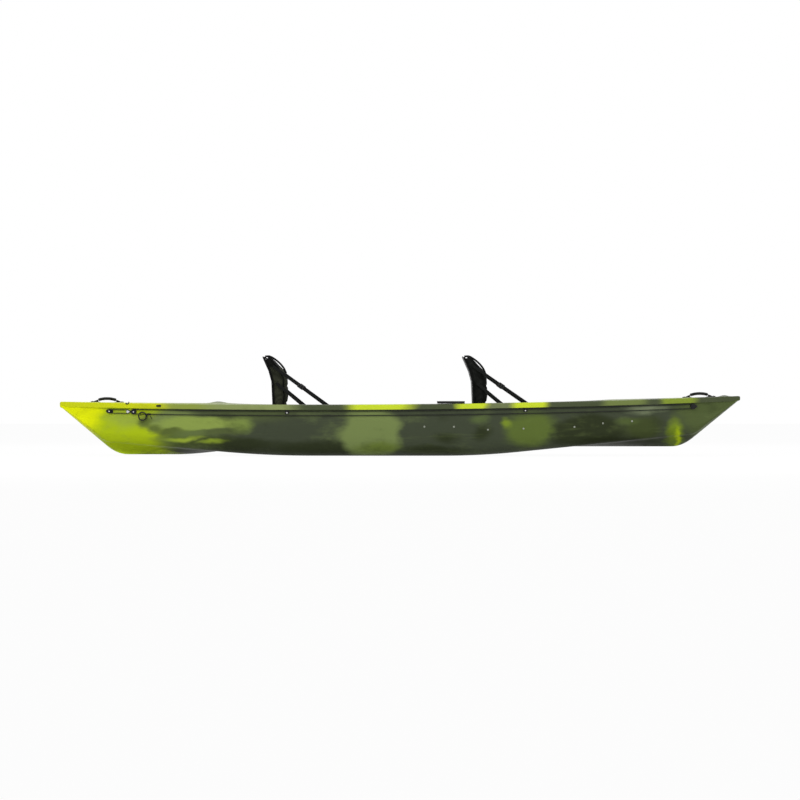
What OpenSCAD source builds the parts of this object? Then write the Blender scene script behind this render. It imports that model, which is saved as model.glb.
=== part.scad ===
// Two-seat open-cockpit kayak. Millimetres, +X to the bow, +Y to port, +Z up.
// The origin is on the flat of the bottom, midway between the tips.

/* [Hull] */
// Overall length from tip to tip
hull_length = 4570; // [4400:10:4800]
// Widest beam, measured over the rim
beam = 810; // [780:5:860]
// Width of the rim at each tip
tip_width = 50; // [40:2:70]
// Height of the rim's top over the bottom, amidships
sheer_height = 341; // [330:1:370]
// How much the rim tilts up to the bow tip and down to the stern tip
bow_rise = 19; // [10:1:30]
// How much the rim rises to both tips
end_rise = 38; // [30:1:46]
// Thickness of the moulded skin
hull_wall = 5; // [4:0.5:7]
// How far the rim stands out past the side
rim_overhang = 10; // [9:0.5:14]
// Height of the rim band
rim_height = 34; // [30:1:40]
// Radius of the rim's upper edge
rim_round = 8; // [5:0.5:12]
// Height of the side strip below the rim
strip_height = 70; // [64:1:84]
// Width of the gunwale between rim and cockpit
gunwale_width = 45; // [40:1:60]
// Crown of the deck at its widest
deck_crown = 12; // [6:1:20]
// Distance of the cockpit's aft end from the stern tip
cockpit_aft = 1155; // [1120:5:1200]
// Distance of the cockpit's forward end from the bow tip
cockpit_fore = 885; // [840:5:920]
// Height of the moulded crown behind the cockpit
coaming_height = 12; // [6:1:18]
// Height of the moulded bump on the bow
nose_bump = 9; // [4:1:14]

/* [Bottom] */
// Half width of the tunnel's ceiling
tunnel_half = 110; // [90:1:130]
// Height of the tunnel's ceiling
tunnel_height = 60; // [45:1:70]
// Inner edge of each pontoon's flat, from the centre
pontoon_inner = 195; // [180:1:205]
// Outer edge of each pontoon's flat, from the centre
pontoon_outer = 290; // [280:1:300]
// Half width at the turn of the bilge
bilge_half = 342; // [335:1:348]
// Height of the turn of the bilge
bilge_height = 34; // [28:1:44]
// Half width at the chine
chine_half = 366; // [360:1:370]
// Height of the chine
chine_height = 95; // [85:1:110]
// Height of the keel near the stern
stern_keel = 7; // [4:1:12]
// Length of the raked stem at the stern
stern_overhang = 393; // [360:1:420]
// Length of the raked stem at the bow
bow_overhang = 462; // [430:1:490]

/* [Flotation] */
// Length of the foam block in each end
block_length = 190; // [150:10:200]
// Distance of each foam block's outer end from the end of the hollow
block_inset = 15; // [5:1:40]
// Height of the foam blocks
block_height = 190; // [120:5:210]

/* [Carry handles] */
// Distance of the stern handle's middle from the stern tip
stern_handle_inset = 318; // [300:1:360]
// Distance of the bow handle's middle from the bow tip
bow_handle_inset = 276; // [275:1:330]
// Span of a handle between its screws
handle_span = 180; // [160:1:200]
// Height of a handle's arch
handle_rise = 22; // [20:1:30]
// Width of a handle's strap
handle_strap_w = 16; // [12:1:20]
// Thickness of a handle's strap
handle_strap_t = 5; // [4:0.5:6]
// Diameter of a handle's grip
handle_grip_d = 20; // [19:0.5:24]
// Length of a handle's grip
handle_grip_l = 120; // [90:1:130]

/* [Rim fittings] */
// Length of an accessory rail
gear_rail_length = 178; // [150:1:200]
// Width of an accessory rail
gear_rail_w = 22; // [20:0.5:26]
// Height of an accessory rail
gear_rail_h = 16; // [14:0.5:20]
// Position of the accessory rails' middle forward of amidships
gear_rail_x = 342; // [300:1:380]
// Width of the slot in an accessory rail
gear_slot_w = 8; // [7:0.5:10]
// Distance of the rim hook from the stern tip
rim_hook_inset = 463; // [440:1:535]
// Distance of the rim pad from the stern tip
rim_pad_inset = 675; // [650:1:735]
// Length of the rim pad
rim_pad_length = 32; // [24:1:40]

/* [Anchor trolley] */
// Diameter of the trolley line and of the shock cord
line_d = 5; // [4:0.5:6]
// Distance of the upper run below the rim
upper_drop = 6.5; // [6.5:0.1:8]
// Distance between the two runs
run_spacing = 30; // [28:0.5:34]
// Distance of the line's middle from the hull side
line_offset = 6.5; // [6.5:0.1:8]
// Distance of the stern sheave from the stern tip
stern_sheave_inset = 507; // [500:1:525]
// Distance of the bow sheave from the bow tip
bow_sheave_inset = 324; // [310:1:375]
// Distance of the stern button from the stern tip
button_inset = 342; // [330:1:355]
// Position of the aft line guide, aft of amidships
guide_aft_x = 750; // [700:5:800]
// Position of the forward line guide, forward of amidships
guide_fore_x = 833; // [780:1:880]
// Distance of the ring from the stern tip
ring_inset = 568; // [566:1:615]
// Outer diameter of the ring
ring_d = 62; // [56:1:66]
// Thickness of the ring's bar
ring_bar = 8; // [6:0.5:9]

/* [Foot braces] */
// Distance between the two rivets of a foot rail
rivet_pitch = 196; // [170:1:210]
// Length of a foot rail
foot_rail_length = 330; // [300:5:380]
// Height of a foot rail
foot_rail_h = 26; // [24:1:32]
// Thickness of a foot rail
foot_rail_t = 12; // [10:0.5:16]
// Position of the rear paddler's foot rails, at their aft rivet
rear_rail_x = 162; // [120:1:180]
// Distance of the front paddler's foot rails from the bow tip, at their aft rivet
front_rail_inset = 933; // [930:1:995]
// Height of the rear rails' rivets
rear_rail_z = 194; // [180:1:205]
// Height of the front rails' rivets
front_rail_z = 216; // [205:1:225]
// Height of a pedal's plate
pedal_h = 120; // [90:1:130]
// Width of a pedal's plate
pedal_w = 72; // [55:1:80]
// Thickness of a pedal's plate
pedal_t = 8; // [6:0.5:12]
// Diameter of a rivet's head
rivet_head_d = 13; // [10:0.5:16]
// Height of a rivet's head below its dome, and of the dome
rivet_head_h = 1.5; // [1:0.1:2.5]

/* [Seats] */
// Position of the rear seat's hinge aft of amidships
rear_hinge_x = 826; // [790:1:840]
// Distance of the front seat's hinge from the bow tip
front_hinge_inset = 1773; // [1735:1:1785]
// Height of the seat hinges
hinge_z = 205; // [198:1:215]
// Radius of a hinge pin
hinge_pin_r = 5; // [4:0.5:6]
// Width of a seat base
seat_w = 430; // [410:2:440]
// Length of a seat base
seat_l = 440; // [420:2:460]
// Height of a seat base's top
seat_z = 142; // [136:1:148]
// Thickness of a seat base
seat_t = 12; // [8:1:16]
// Thickness of a seat cushion at its edge
cushion_edge = 22; // [18:1:26]
// Crown of a seat cushion over its edge
cushion_crown = 16; // [8:1:18]
// Width of a backrest
back_w = 430; // [420:2:440]
// Thickness of a backrest's shell
shell_t = 6; // [4:0.5:8]
// Width of the webbing
webbing_w = 20; // [18:1:25]
// Thickness of the webbing
webbing_t = 2; // [1.5:0.5:3]

/* [Clearances] */
// Gap between a fitting and the moulded surface that it sits on
seat_gap = 0.3; // [0.3:0.05:0.5]
// Radial clearance of a pin that turns
pin_clearance = 0.05; // [0.02:0.01:0.08]
// Gap between pieces that slide or swing past each other
slide_gap = 0.4; // [0.3:0.05:0.6]

/* [Hidden] */
$fn = 48;
sides = ["starboard", "port"];
seats = ["rear", "front"];

half_length = hull_length / 2;
rim_hook_x = half_length - rim_hook_inset;
rim_pad_x = half_length - rim_pad_inset;
stern_sheave_x = half_length - stern_sheave_inset;
bow_sheave_x = half_length - bow_sheave_inset;
button_x = half_length - button_inset;
ring_x = half_length - ring_inset;
front_rail_x = half_length - front_rail_inset;
front_hinge_x = half_length - front_hinge_inset;
half_rim = beam / 2;
half_tip = tip_width / 2;
plan_sag = half_rim - half_tip;
plan_radius = (half_length * half_length + plan_sag * plan_sag) / (2 * plan_sag);
rise_slope = bow_rise / half_length;
side_slope = end_rise / plan_sag;
stern_rake = 0.84;
bow_rake = 0.817;
keel_blend = 60;
shape_blend = 24;
stern_rocker = 0.085;
bow_rocker = 0.1;
rocker_blend = 25;
shoulder_share = 0.45;
cockpit_square = 14;
stern_rocker_x = -880;
bow_rocker_x = 540;
tunnel_fade = [850, 1500];
coaming_span = [980, 1150];
nose_span = [60, 156];

// Larger of two values, rounded off over a band of width k where they meet
function smax(a, b, k) = max(a, b) + pow(max(k - abs(a - b), 0), 2) / (4 * k);
// Smooth step from 0 to 1
function ease(t) = let (c = min(max(t, 0), 1)) c * c * (3 - 2 * c);
// Smooth hump of height 1 between two places
function hump(x, span) = let (t = (x - span[0]) / (span[1] - span[0]))
    (t <= 0 || t >= 1) ? 0 : pow(sin(180 * t), 2);
function unit(v) = v / norm(v);

// Hull lines: half beam, rim height, stem, keel and pontoon bottom at a place along the length
function half_beam(x) = sqrt(plan_radius * plan_radius - x * x) - (plan_radius - half_rim);
function sheer(x) = sheer_height + rise_slope * x + side_slope * (half_rim - half_beam(x));
function stem(x) = max(stern_rake * (stern_overhang - half_length - x),
    bow_rake * (x - half_length + bow_overhang));
function tunnel(x) = tunnel_height + (stern_keel - tunnel_height)
    * ease((-x - tunnel_fade[0]) / (tunnel_fade[1] - tunnel_fade[0]));
function keel(x) = smax(tunnel(x), stem(x), keel_blend);
function pontoon(x) = smax(smax(0, bow_rocker * (x - bow_rocker_x), rocker_blend),
    stern_rocker * (stern_rocker_x - x), rocker_blend);
// Height of the shoulder beside the keel: the tunnel's ceiling, or part of the way up to the pontoons
function shoulder(x) = tunnel(x) + shoulder_share * smax(0, pontoon(x) - tunnel(x), shape_blend);
function bilge(x) = pontoon(x) + bilge_height;
function chine(x) = smax(pontoon(x) / 2 + chine_height, bilge(x) + shape_blend, shape_blend);
// Height z, lifted by the raked stem near the ends; part is the share of the way from stem to rim
function lifted(x, z, part) = smax(z, stem(x) + part * (sheer(x) - stem(x)), shape_blend);
function taper(x) = half_beam(x) / half_rim;
function deck_z(x, share) = sheer(x) + share * (deck_crown * taper(x)
    + coaming_height * hump(x + half_length, coaming_span)
    + nose_bump * hump(half_length - x, nose_span));
function strip_top(x) = sheer(x) - rim_height;
// Share of the rim's overhang that is left near the tips, where the side closes
function end_share(x) = min(1, half_beam(x) / (4 * half_tip));
function strip_half(x) = half_beam(x) - rim_overhang * end_share(x);
function strip_foot(x) = strip_half(x) - side_slope * strip_height * end_share(x);

// Cockpit opening in plan: its half width, 0 where the deck is closed
cockpit_ends = [cockpit_aft - half_length, half_length - cockpit_fore];
cockpit_mid = (cockpit_ends[0] + cockpit_ends[1]) / 2;
cockpit_half = (cockpit_ends[1] - cockpit_ends[0]) / 2;
function cockpit_y(x) = (half_beam(x) - gunwale_width)
    * sqrt(max(0, 1 - pow(abs(x - cockpit_mid) / cockpit_half, cockpit_square)));
// Point of the deck's upper face, or t below it
function deck_point(x, y, t) = [y, deck_z(x, 1 - pow(y / half_beam(x), 2)) - t];

// Port half of the outer section, from the keel round the rim to the middle or the cockpit's edge
function outer_half(x) = let (s = taper(x), b = half_beam(x), r = rim_round * s, edge = cockpit_y(x)) [
    [0, keel(x)],
    [tunnel_half * s, lifted(x, shoulder(x), 0.03)],
    [pontoon_inner * s, lifted(x, pontoon(x), 0.06)],
    [pontoon_outer * s, lifted(x, pontoon(x), 0.09)],
    [bilge_half * s, lifted(x, bilge(x), 0.13)],
    [chine_half * s, lifted(x, chine(x), 0.18)],
    [strip_foot(x), lifted(x, strip_top(x) - strip_height, 0.26)],
    [strip_half(x), lifted(x, strip_top(x), 0.34)],
    [b, lifted(x, strip_top(x), 0.36)],
    [b, sheer(x) - r],
    [b - 0.3 * r, sheer(x) - 0.3 * r],
    for (f = [1, 0.6, 0.3, 0]) deck_point(x, edge + f * (b - r - edge), 0)];

// From 1 where the tunnel stands above the pontoons to -1 where the keel lies below them
function tunnel_sign(x) = min(max((tunnel(x) - pontoon(x)) / shape_blend, -1), 1);
// Port half of a section inside the skin, t inside the outer faces
function inner_half(x, t) = let (s = taper(x), e = t * tunnel_sign(x), edge = cockpit_y(x)) [
    [0, keel(x) + t],
    [tunnel_half * s + e, lifted(x, shoulder(x), 0.03) + t],
    [pontoon_inner * s + e, lifted(x, pontoon(x), 0.06) + t],
    [pontoon_outer * s - t / 2, lifted(x, pontoon(x), 0.09) + t],
    [bilge_half * s - t, lifted(x, bilge(x), 0.13) + t * 0.8],
    [chine_half * s - t, lifted(x, chine(x), 0.18) + t * 0.4],
    [strip_foot(x) - t, lifted(x, strip_top(x) - strip_height, 0.26)],
    [strip_half(x) - t, sheer(x) - rim_round - t],
    for (f = [1, 0.5, 0]) deck_point(x, edge + f * (strip_half(x) - t - rim_round - edge), t)];

// Closed loop of a section from its port half
function full_loop(h) = concat(h, [for (i = [len(h) - 2:-1:1]) [-h[i][0], h[i][1]]]);
function loft_faces(rows, n) = concat(
    [[for (j = [0:n - 1]) j]],
    [[for (j = [n - 1:-1:0]) (rows - 1) * n + j]],
    [for (i = [0:rows - 2], j = [0:n - 1], k = [0, 1])
        let (a = i * n + j, b = i * n + (j + 1) % n, c = b + n, d = a + n)
        k == 0 ? [a, d, c] : [a, c, b]]);

// Solid through sections at the places xs
module loft(xs, loops) {
    n = len(loops[0]);
    pts = [for (i = [0:len(xs) - 1]) for (p = loops[i]) [xs[i], p[0], p[1]]];
    polyhedron(points = pts, faces = loft_faces(len(xs), n));
}

// Stations along the length: tip, closed well, cockpit, closed foredeck and tip
cavity_ends = [stern_overhang - half_length + 20, half_length - bow_overhang + 20];
tip_steps = 11;
well_steps = 11;
cockpit_steps = 32;
fore_steps = 7;
function steps(a, b, n) = [for (i = [0:n - 1]) a + (b - a) * i / n];
hull_stations = concat(steps(-half_length, cavity_ends[0], tip_steps),
    steps(cavity_ends[0], cockpit_ends[0], well_steps),
    [for (i = [0:cockpit_steps - 1]) cockpit_mid - cockpit_half * cos(180 * i / cockpit_steps)],
    steps(cockpit_ends[1], cavity_ends[1], fore_steps),
    steps(cavity_ends[1], half_length, tip_steps),
    [half_length]);
cavity_stations = [for (i = [tip_steps:tip_steps + well_steps + cockpit_steps + fore_steps]) hull_stations[i]];
cavity_last = len(cavity_stations) - 1;

// The skin is one closed surface: the outer rings, the inner rings of the hollow, a lip round the
// cockpit and four end faces. A ring runs from the keel up the port half, and down the starboard half.
outer_n = len(outer_half(0));
inner_n = len(inner_half(0, 0));
open_first = tip_steps + well_steps;
open_last = open_first + cockpit_steps;
hollow_last = open_last + fore_steps;
station_last = len(hull_stations) - 1;
function ring_points(x, h) = [for (y = concat(h, [for (k = [len(h) - 1:-1:1]) [-h[k][0], h[k][1]]])) [x, y[0], y[1]]];
// Place of point j in a ring of half length n; the two upper ends are one point where the deck is closed
function ring_place(i, j, n) = let (k = j % (2 * n - 1))
    (k == n && (i <= open_first || i >= open_last)) ? n - 1 : k;
function outer_place(i, j) = i * (2 * outer_n - 1) + ring_place(i, j, outer_n);
function inner_place(i, j) = (station_last + 1) * (2 * outer_n - 1) + (i - tip_steps) * (2 * inner_n - 1)
    + ring_place(i, j, inner_n);
outer_faces = [for (i = [0:station_last - 1], j = [0:2 * outer_n - 2], k = [0, 1]) if (j != outer_n - 1)
    let (a = outer_place(i, j), c = outer_place(i + 1, j + 1))
    k == 0 ? [a, outer_place(i + 1, j), c] : [a, c, outer_place(i, j + 1)]];
inner_faces = [for (i = [tip_steps:hollow_last - 1], j = [0:2 * inner_n - 2], k = [0, 1]) if (j != inner_n - 1)
    let (a = inner_place(i, j), c = inner_place(i + 1, j + 1))
    k == 0 ? [a, c, inner_place(i + 1, j)] : [a, inner_place(i, j + 1), c]];
lip_faces = [for (i = [open_first:open_last - 1], k = [0:3])
    let (port = k < 2, jo = port ? outer_n - 1 : outer_n, ji = port ? inner_n - 1 : inner_n,
        i0 = port ? i : i + 1, i1 = port ? i + 1 : i,
        a = outer_place(i0, jo), c = inner_place(i1, ji))
    k % 2 == 0 ? [a, outer_place(i1, jo), c] : [a, c, inner_place(i0, ji)]];
outer_ends = [[for (j = [0:2 * outer_n - 2]) if (j != outer_n) outer_place(0, j)],
    [for (j = [2 * outer_n - 2:-1:0]) if (j != outer_n) outer_place(station_last, j)]];
inner_ends = [[for (j = [2 * inner_n - 2:-1:0]) if (j != inner_n) inner_place(tip_steps, j)],
    [for (j = [0:2 * inner_n - 2]) if (j != inner_n) inner_place(hollow_last, j)]];
module hull() {
    color("olivedrab")
    polyhedron(
        points = concat([for (x = hull_stations) each ring_points(x, outer_half(x))],
            [for (x = cavity_stations) each ring_points(x, inner_half(x, hull_wall))]),
        faces = concat(outer_faces, inner_faces, lip_faces, outer_ends, inner_ends));
}

// Foam block that fills the lower part of the closed end between two places
module flotation_block(x0, x1) {
    low = max([for (i = [0:cavity_last]) if (cavity_stations[i] <= x0) i]);
    high = min([for (i = [0:cavity_last]) if (cavity_stations[i] >= x1) i]);
    xs = [for (i = [low:high]) cavity_stations[i]];
    color("whitesmoke")
    intersection() {
        loft(xs, [for (x = xs) full_loop(inner_half(x, hull_wall + slide_gap))]);
        translate([x0, -half_rim, 0])
            cube([x1 - x0, beam, max(keel(x0), keel(x1)) + block_height]);
    }
}

// The bow block keeps clear of the front foot rails
rail_room = 10;
module bow_flotation_block() {
    end = cavity_stations[cavity_last] - block_inset;
    rail_end = front_rail_x + rivet_pitch + rail_overrun;
    flotation_block(max(end - block_length, rail_end + rail_room), end);
}
module stern_flotation_block() {
    end = cavity_stations[0] + block_inset;
    flotation_block(end, end + block_length);
}

// Frame on the starboard side strip at a place along the length. X runs forward along the side,
// Y points into the hull, Z runs up the strip and is 0 at the rim's underside. The strip is a
// cylinder about side_axis through side_centre.
side_axis = unit([-rise_slope, -side_slope, 1]);
side_across = unit([0, 1, side_slope]);
side_along = cross(side_across, side_axis);
side_radius = plan_radius * cos(atan(side_slope));
// The rim's tilt to the bow turns the strip a little, which moves its centre aft
side_shift = side_radius * side_slope * rise_slope / (1 + side_slope * side_slope);
side_centre = [-side_shift, rim_overhang - half_rim, sheer_height - rim_height] + side_radius * side_across;
function side_angle(x) = asin((x + side_shift) / (side_radius * side_along[0]));
function columns(a, b, c, p) = [for (i = [0:2]) [a[i], b[i], c[i], p[i]]];
module on_side(x) {
    at_side_angle(side_angle(x))
        children();
}
module at_side_angle(q) {
    p = side_centre + side_radius * (sin(q) * side_along - cos(q) * side_across);
    multmatrix(columns(cos(q) * side_along + sin(q) * side_across,
        cos(q) * side_across - sin(q) * side_along, side_axis, p))
        children();
}
// Arc of line along the side between two places, drop below the rim
module side_arc(x0, x1, drop, r) {
    multmatrix(columns(-side_across, side_along, side_axis, side_centre))
        translate([0, 0, -drop])
        rotate([0, 0, side_angle(x0)])
        rotate_extrude(angle = side_angle(x1) - side_angle(x0), $fn = 900)
        translate([side_radius + line_offset, 0])
        circle(r = r, $fn = 24);
}
// Angle of the starboard side in plan
function side_yaw(x) = asin(x / plan_radius);
// Upright frame on the starboard rim's upper outer edge
module on_rim(x) {
    translate([x, -half_beam(x), sheer(x)])
        rotate([0, 0, side_yaw(x)])
        children();
}
module for_side(side) {
    if (side == "port") mirror([0, 1, 0]) children();
    else children();
}
// Cylinder whose axis runs out of the hull side, between two distances from the side
module outward(from, to, r) {
    translate([0, -to, 0])
        rotate([-90, 0, 0])
        cylinder(r = r, h = to - from);
}
// Plate with two round ends along X, between two distances from the side
module link_plate(x0, x1, r, from, to) {
    for (x = [x0, x1])
        translate([x, 0, 0])
        outward(from, to, r);
    translate([x0, -to, -r])
        cube([x1 - x0, to - from, 2 * r]);
}
// Flat plate with rounded corners, centred, thick along Z
module rounded_plate(w, h, t, r) {
    linear_extrude(t) {
        square([w - 2 * r, h], center = true);
        square([w, h - 2 * r], center = true);
        for (sx = [-1, 1], sy = [-1, 1])
            translate([sx * (w / 2 - r), sy * (h / 2 - r)])
            circle(r = r);
    }
}
// Round bar between two points
module bar(p, q, r) {
    d = q - p;
    translate(p)
        rotate([0, acos(d[2] / norm(d)), atan2(d[1], d[0])])
        cylinder(r = r, h = norm(d));
}

// Carry handles
handle_r = (handle_span * handle_span / 4 + handle_rise * handle_rise) / (2 * handle_rise);
handle_angle = asin(handle_span / 2 / handle_r);
grip_angle = handle_grip_l / handle_r * 90 / PI;
tab_l = 28;
handle_screw_r = 2.5;
// Feet of the handles: from a low toe under the grip to the end of the strap
foot_start = handle_grip_l / 2;
foot_toe = [foot_start - 16, foot_start + 0.5];
foot_toe_h = 4;
stern_handle_x = stern_handle_inset - half_length;
bow_handle_x = half_length - bow_handle_inset;
function handle_tilt(x) = -atan((deck_z(x + handle_span / 2, 1) - deck_z(x - handle_span / 2, 1)) / handle_span);
function handle_base(x) = max([for (t = [-1, -0.5, 0, 0.5, 1])
    let (d = t * (handle_span / 2 + tab_l * 0.75))
    deck_z(x + d, 1) + d * tan(handle_tilt(x))]) + seat_gap;
module handle_frame(x) {
    translate([x, 0, handle_base(x)])
        rotate([0, handle_tilt(x), 0])
        children();
}
module handle_arc(angle) {
    translate([0, 0, handle_strap_t / 2 + handle_rise - handle_r])
        rotate([90, 0, 0])
        rotate([0, 0, 90 - angle])
        rotate_extrude(angle = 2 * angle, $fn = 96)
        translate([handle_r, 0])
        children();
}
foot_end = handle_span / 2 + 2;
foot_w = handle_strap_w - 1;
function arch_z(x) = handle_strap_t / 2 + handle_rise - handle_r + sqrt(handle_r * handle_r - x * x);
foot_line = [for (k = [0:6]) let (x = foot_toe[1] + (foot_end - foot_toe[1]) * k / 6) [x, arch_z(x)]];
module handle_foot() {
    translate([0, foot_w / 2, 0])
        rotate([90, 0, 0])
        linear_extrude(height = foot_w)
        polygon(concat([[foot_toe[0], 0], [foot_toe[1], foot_toe_h]], foot_line, [[foot_end, 0]]));
}
module handle_strap(x) {
    color("black")
    handle_frame(x)
    difference() {
        union() {
            intersection() {
                handle_arc(handle_angle + 4)
                    square([handle_strap_t, handle_strap_w], center = true);
                translate([-handle_span, -handle_strap_w, 0])
                    cube([2 * handle_span, 2 * handle_strap_w, 3 * handle_rise]);
            }
            for (s = [-1, 1])
                translate([s * handle_span / 2 + s * tab_l / 4, 0, 0])
                rounded_plate(tab_l, handle_strap_w + 6, handle_strap_t, 6);
            for (m = [0, 1]) mirror([m, 0, 0]) handle_foot();
        }
        for (s = [-1, 1])
            translate([s * (handle_span / 2 + tab_l / 4), 0, -1])
            cylinder(r = handle_screw_r + pin_clearance, h = 30);
    }
}
module handle_grip(x) {
    color("dimgray")
    handle_frame(x)
    handle_arc(grip_angle)
        difference() {
            circle(d = handle_grip_d);
            square([handle_strap_t + 2 * seat_gap, handle_strap_w + 2 * seat_gap], center = true);
        }
}
module screw(r, head_r, head_h, length) {
    cylinder(r = head_r, h = head_h * 0.6);
    translate([0, 0, head_h * 0.6])
        cylinder(r1 = head_r, r2 = head_r * 0.6, h = head_h * 0.4);
    translate([0, 0, -length])
        cylinder(r = r, h = length);
}
module handle_screws() {
    color("silver")
    for (x = [stern_handle_x, bow_handle_x], s = [-1, 1])
        handle_frame(x)
        translate([s * (handle_span / 2 + tab_l / 4), 0, handle_strap_t])
        screw(handle_screw_r, 5, 3, handle_strap_t + hull_wall + 6);
}

// Accessory rails on the gunwales
gear_screw_r = 2;
gear_lip = 4;
function gear_base() = max([for (t = [-0.5, 0, 0.5]) let (x = gear_rail_x + t * gear_rail_length)
    deck_z(x, 0.14) - sheer(gear_rail_x)]) + seat_gap;
module gear_rail_frame() {
    on_rim(gear_rail_x)
        translate([0, gunwale_width / 2, gear_base()])
        children();
}
module gear_rail(side) {
    slot_w = gear_slot_w + 6;
    color("black")
    for_side(side)
    gear_rail_frame()
    difference() {
        rounded_plate(gear_rail_length, gear_rail_w, gear_rail_h, 7);
        translate([-gear_rail_length, -gear_slot_w / 2, gear_rail_h - gear_lip - 1])
            cube([2 * gear_rail_length, gear_slot_w, gear_lip + 2]);
        translate([-gear_rail_length, -slot_w / 2, gear_lip])
            cube([2 * gear_rail_length, slot_w, gear_rail_h - 2 * gear_lip]);
        for (s = [-1, 1])
            translate([s * gear_rail_length / 3, 0, -1])
            cylinder(r = gear_screw_r + pin_clearance, h = gear_lip + 2);
    }
}
module gear_rail_screws() {
    color("silver")
    for (side = sides, s = [-1, 1])
        for_side(side)
        gear_rail_frame()
        translate([s * gear_rail_length / 3, 0, gear_lip])
        screw(gear_screw_r, gear_slot_w / 2 - 0.5, 2.5, gear_lip + hull_wall + 6);
}

// Fittings on the starboard rim
hook_bar = 3.2;
hook_r = 11;
hook_foot_r = 5;
hook_centre_z = 7;
hook_start = 230;
hook_turn = 145;
hook_y = -seat_gap - hook_bar;
hook_foot = hook_r * [cos(hook_start), sin(hook_start)] + [0, hook_centre_z];
module rim_hook() {
    color("black")
    on_rim(-rim_hook_x) {
        translate([hook_foot[0], -seat_gap - 4, hook_foot[1]])
            rotate([-90, 0, 0])
            cylinder(r = hook_foot_r, h = 3.5);
        translate([0, hook_y, hook_centre_z])
            rotate([90, 0, 0])
            rotate([0, 0, hook_start])
            rotate_extrude(angle = hook_turn)
            translate([hook_r, 0])
            circle(r = hook_bar);
    }
}
module rim_pad() {
    color("black")
    on_rim(-rim_pad_x)
    translate([0, -seat_gap, -rim_round - 6])
    rotate([90, 0, 0]) {
        rounded_plate(rim_pad_length, 13, 4, 5);
        translate([0, 1.5, 4])
            rounded_plate(rim_pad_length * 0.6, 6, 3, 2.9);
    }
}

// Anchor trolley: sizes in the side frame, with the two runs about run_mid
line_r = line_d / 2;
sheave_r = run_spacing / 2;
run_mid = upper_drop + sheave_r;
lower_drop = upper_drop + run_spacing;
groove_r = line_r + slide_gap;
sheave_rim = sheave_r + line_r * 0.5;
sheave_w = line_d + 1.4;
cheek_t = 2;
cheek_gap = slide_gap;
cheek_in = line_offset - sheave_w / 2 - cheek_gap;
cheek_out = line_offset + sheave_w / 2 + cheek_gap;
cheek_r = sheave_r + line_r + 1;
axle_r = 3;
becket_r = 2.2;
becket_gap = sheave_r + line_r + becket_r + 2;
cord_loop_r = 12;
post_r = cord_loop_r - line_r - 0.2;
thimble_gap = becket_gap + 20;
screw_r = 2;

module trolley_button() {
    color("black")
    on_side(-button_x)
    translate([0, 0, -run_mid])
    difference() {
        union() {
            link_plate(-14, 14, 11, seat_gap, line_offset - line_r - 0.5);
            outward(seat_gap, line_offset + line_r + 0.5, post_r);
            outward(line_offset + line_r + 0.5, line_offset + line_r + 2.5, post_r + 3.5);
        }
        outward(-1, line_offset + line_r + 4, screw_r + pin_clearance);
    }
}
// Half angle along the side between the button and the shackle's thimble, and the arc's rise over it
cord_angle = (side_angle(-stern_sheave_x) - side_angle(-button_x)
    - thimble_gap / (side_radius + line_offset) * 180 / PI) / 2;
cord_rise = (side_radius + line_offset) * (1 - cos(cord_angle));
// The straight strands are a little thinner than the bights and run into them
strand_step = 0.05;
strand_lap = 1;
module shock_cord() {
    half = (side_radius + line_offset) * sin(cord_angle);
    color("darkslategray")
    at_side_angle(side_angle(-button_x) + cord_angle)
    translate([0, cord_rise - line_offset, -run_mid]) {
        for (s = [-1, 1])
            translate([s * half, 0, 0])
            rotate([90, 0, 0])
            rotate([0, 0, -90 * s])
            rotate_extrude(angle = 180)
            translate([cord_loop_r, 0])
            circle(r = line_r);
        for (s = [-1, 1])
            translate([-half - strand_lap, 0, s * cord_loop_r])
            rotate([0, 90, 0])
            cylinder(r = line_r - strand_step, h = 2 * (half + strand_lap));
    }
}
module shackle() {
    plate = (cheek_out - cheek_in - line_d) / 2 - 0.35;
    color("silver")
    on_side(-stern_sheave_x)
    translate([0, 0, -run_mid])
    difference() {
        union() {
            link_plate(-thimble_gap, -becket_gap, becket_r + 2, cheek_in, cheek_in + plate);
            link_plate(-thimble_gap, -becket_gap, becket_r + 2, cheek_out - plate, cheek_out);
            translate([-thimble_gap, 0, 0])
                outward(cheek_in, cheek_out, post_r);
        }
        translate([-becket_gap, 0, 0])
            outward(0, 2 * cheek_out, becket_r + pin_clearance);
    }
}
// Pulley block; end is -1 where the fixed end lies aft of the sheave and 1 where it lies forward.
// The post at the fixed end has radius post and a bore of radius hole
module block_cheeks(end, post, hole) {
    difference() {
        union() {
            for (z = [[seat_gap, cheek_in - 0.1], [cheek_out + 0.1, cheek_out + cheek_t]]) {
                outward(z[0], z[1], cheek_r);
                link_plate(min(0, end * becket_gap), max(0, end * becket_gap), becket_r + 4, z[0], z[1]);
            }
            translate([end * becket_gap, 0, 0])
                outward(seat_gap, cheek_out + cheek_t, post);
        }
        outward(0, 2 * cheek_out, axle_r + pin_clearance);
        if (hole > 0)
            translate([end * becket_gap, 0, 0])
            outward(0, 2 * cheek_out, hole);
    }
}
module stern_block() {
    color("black")
    on_side(-stern_sheave_x)
    translate([0, 0, -run_mid])
    block_cheeks(-1, becket_r, 0);
}
module bow_block() {
    color("black")
    on_side(bow_sheave_x)
    translate([0, 0, -run_mid])
    block_cheeks(1, screw_r + 2, screw_r + pin_clearance);
}
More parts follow.
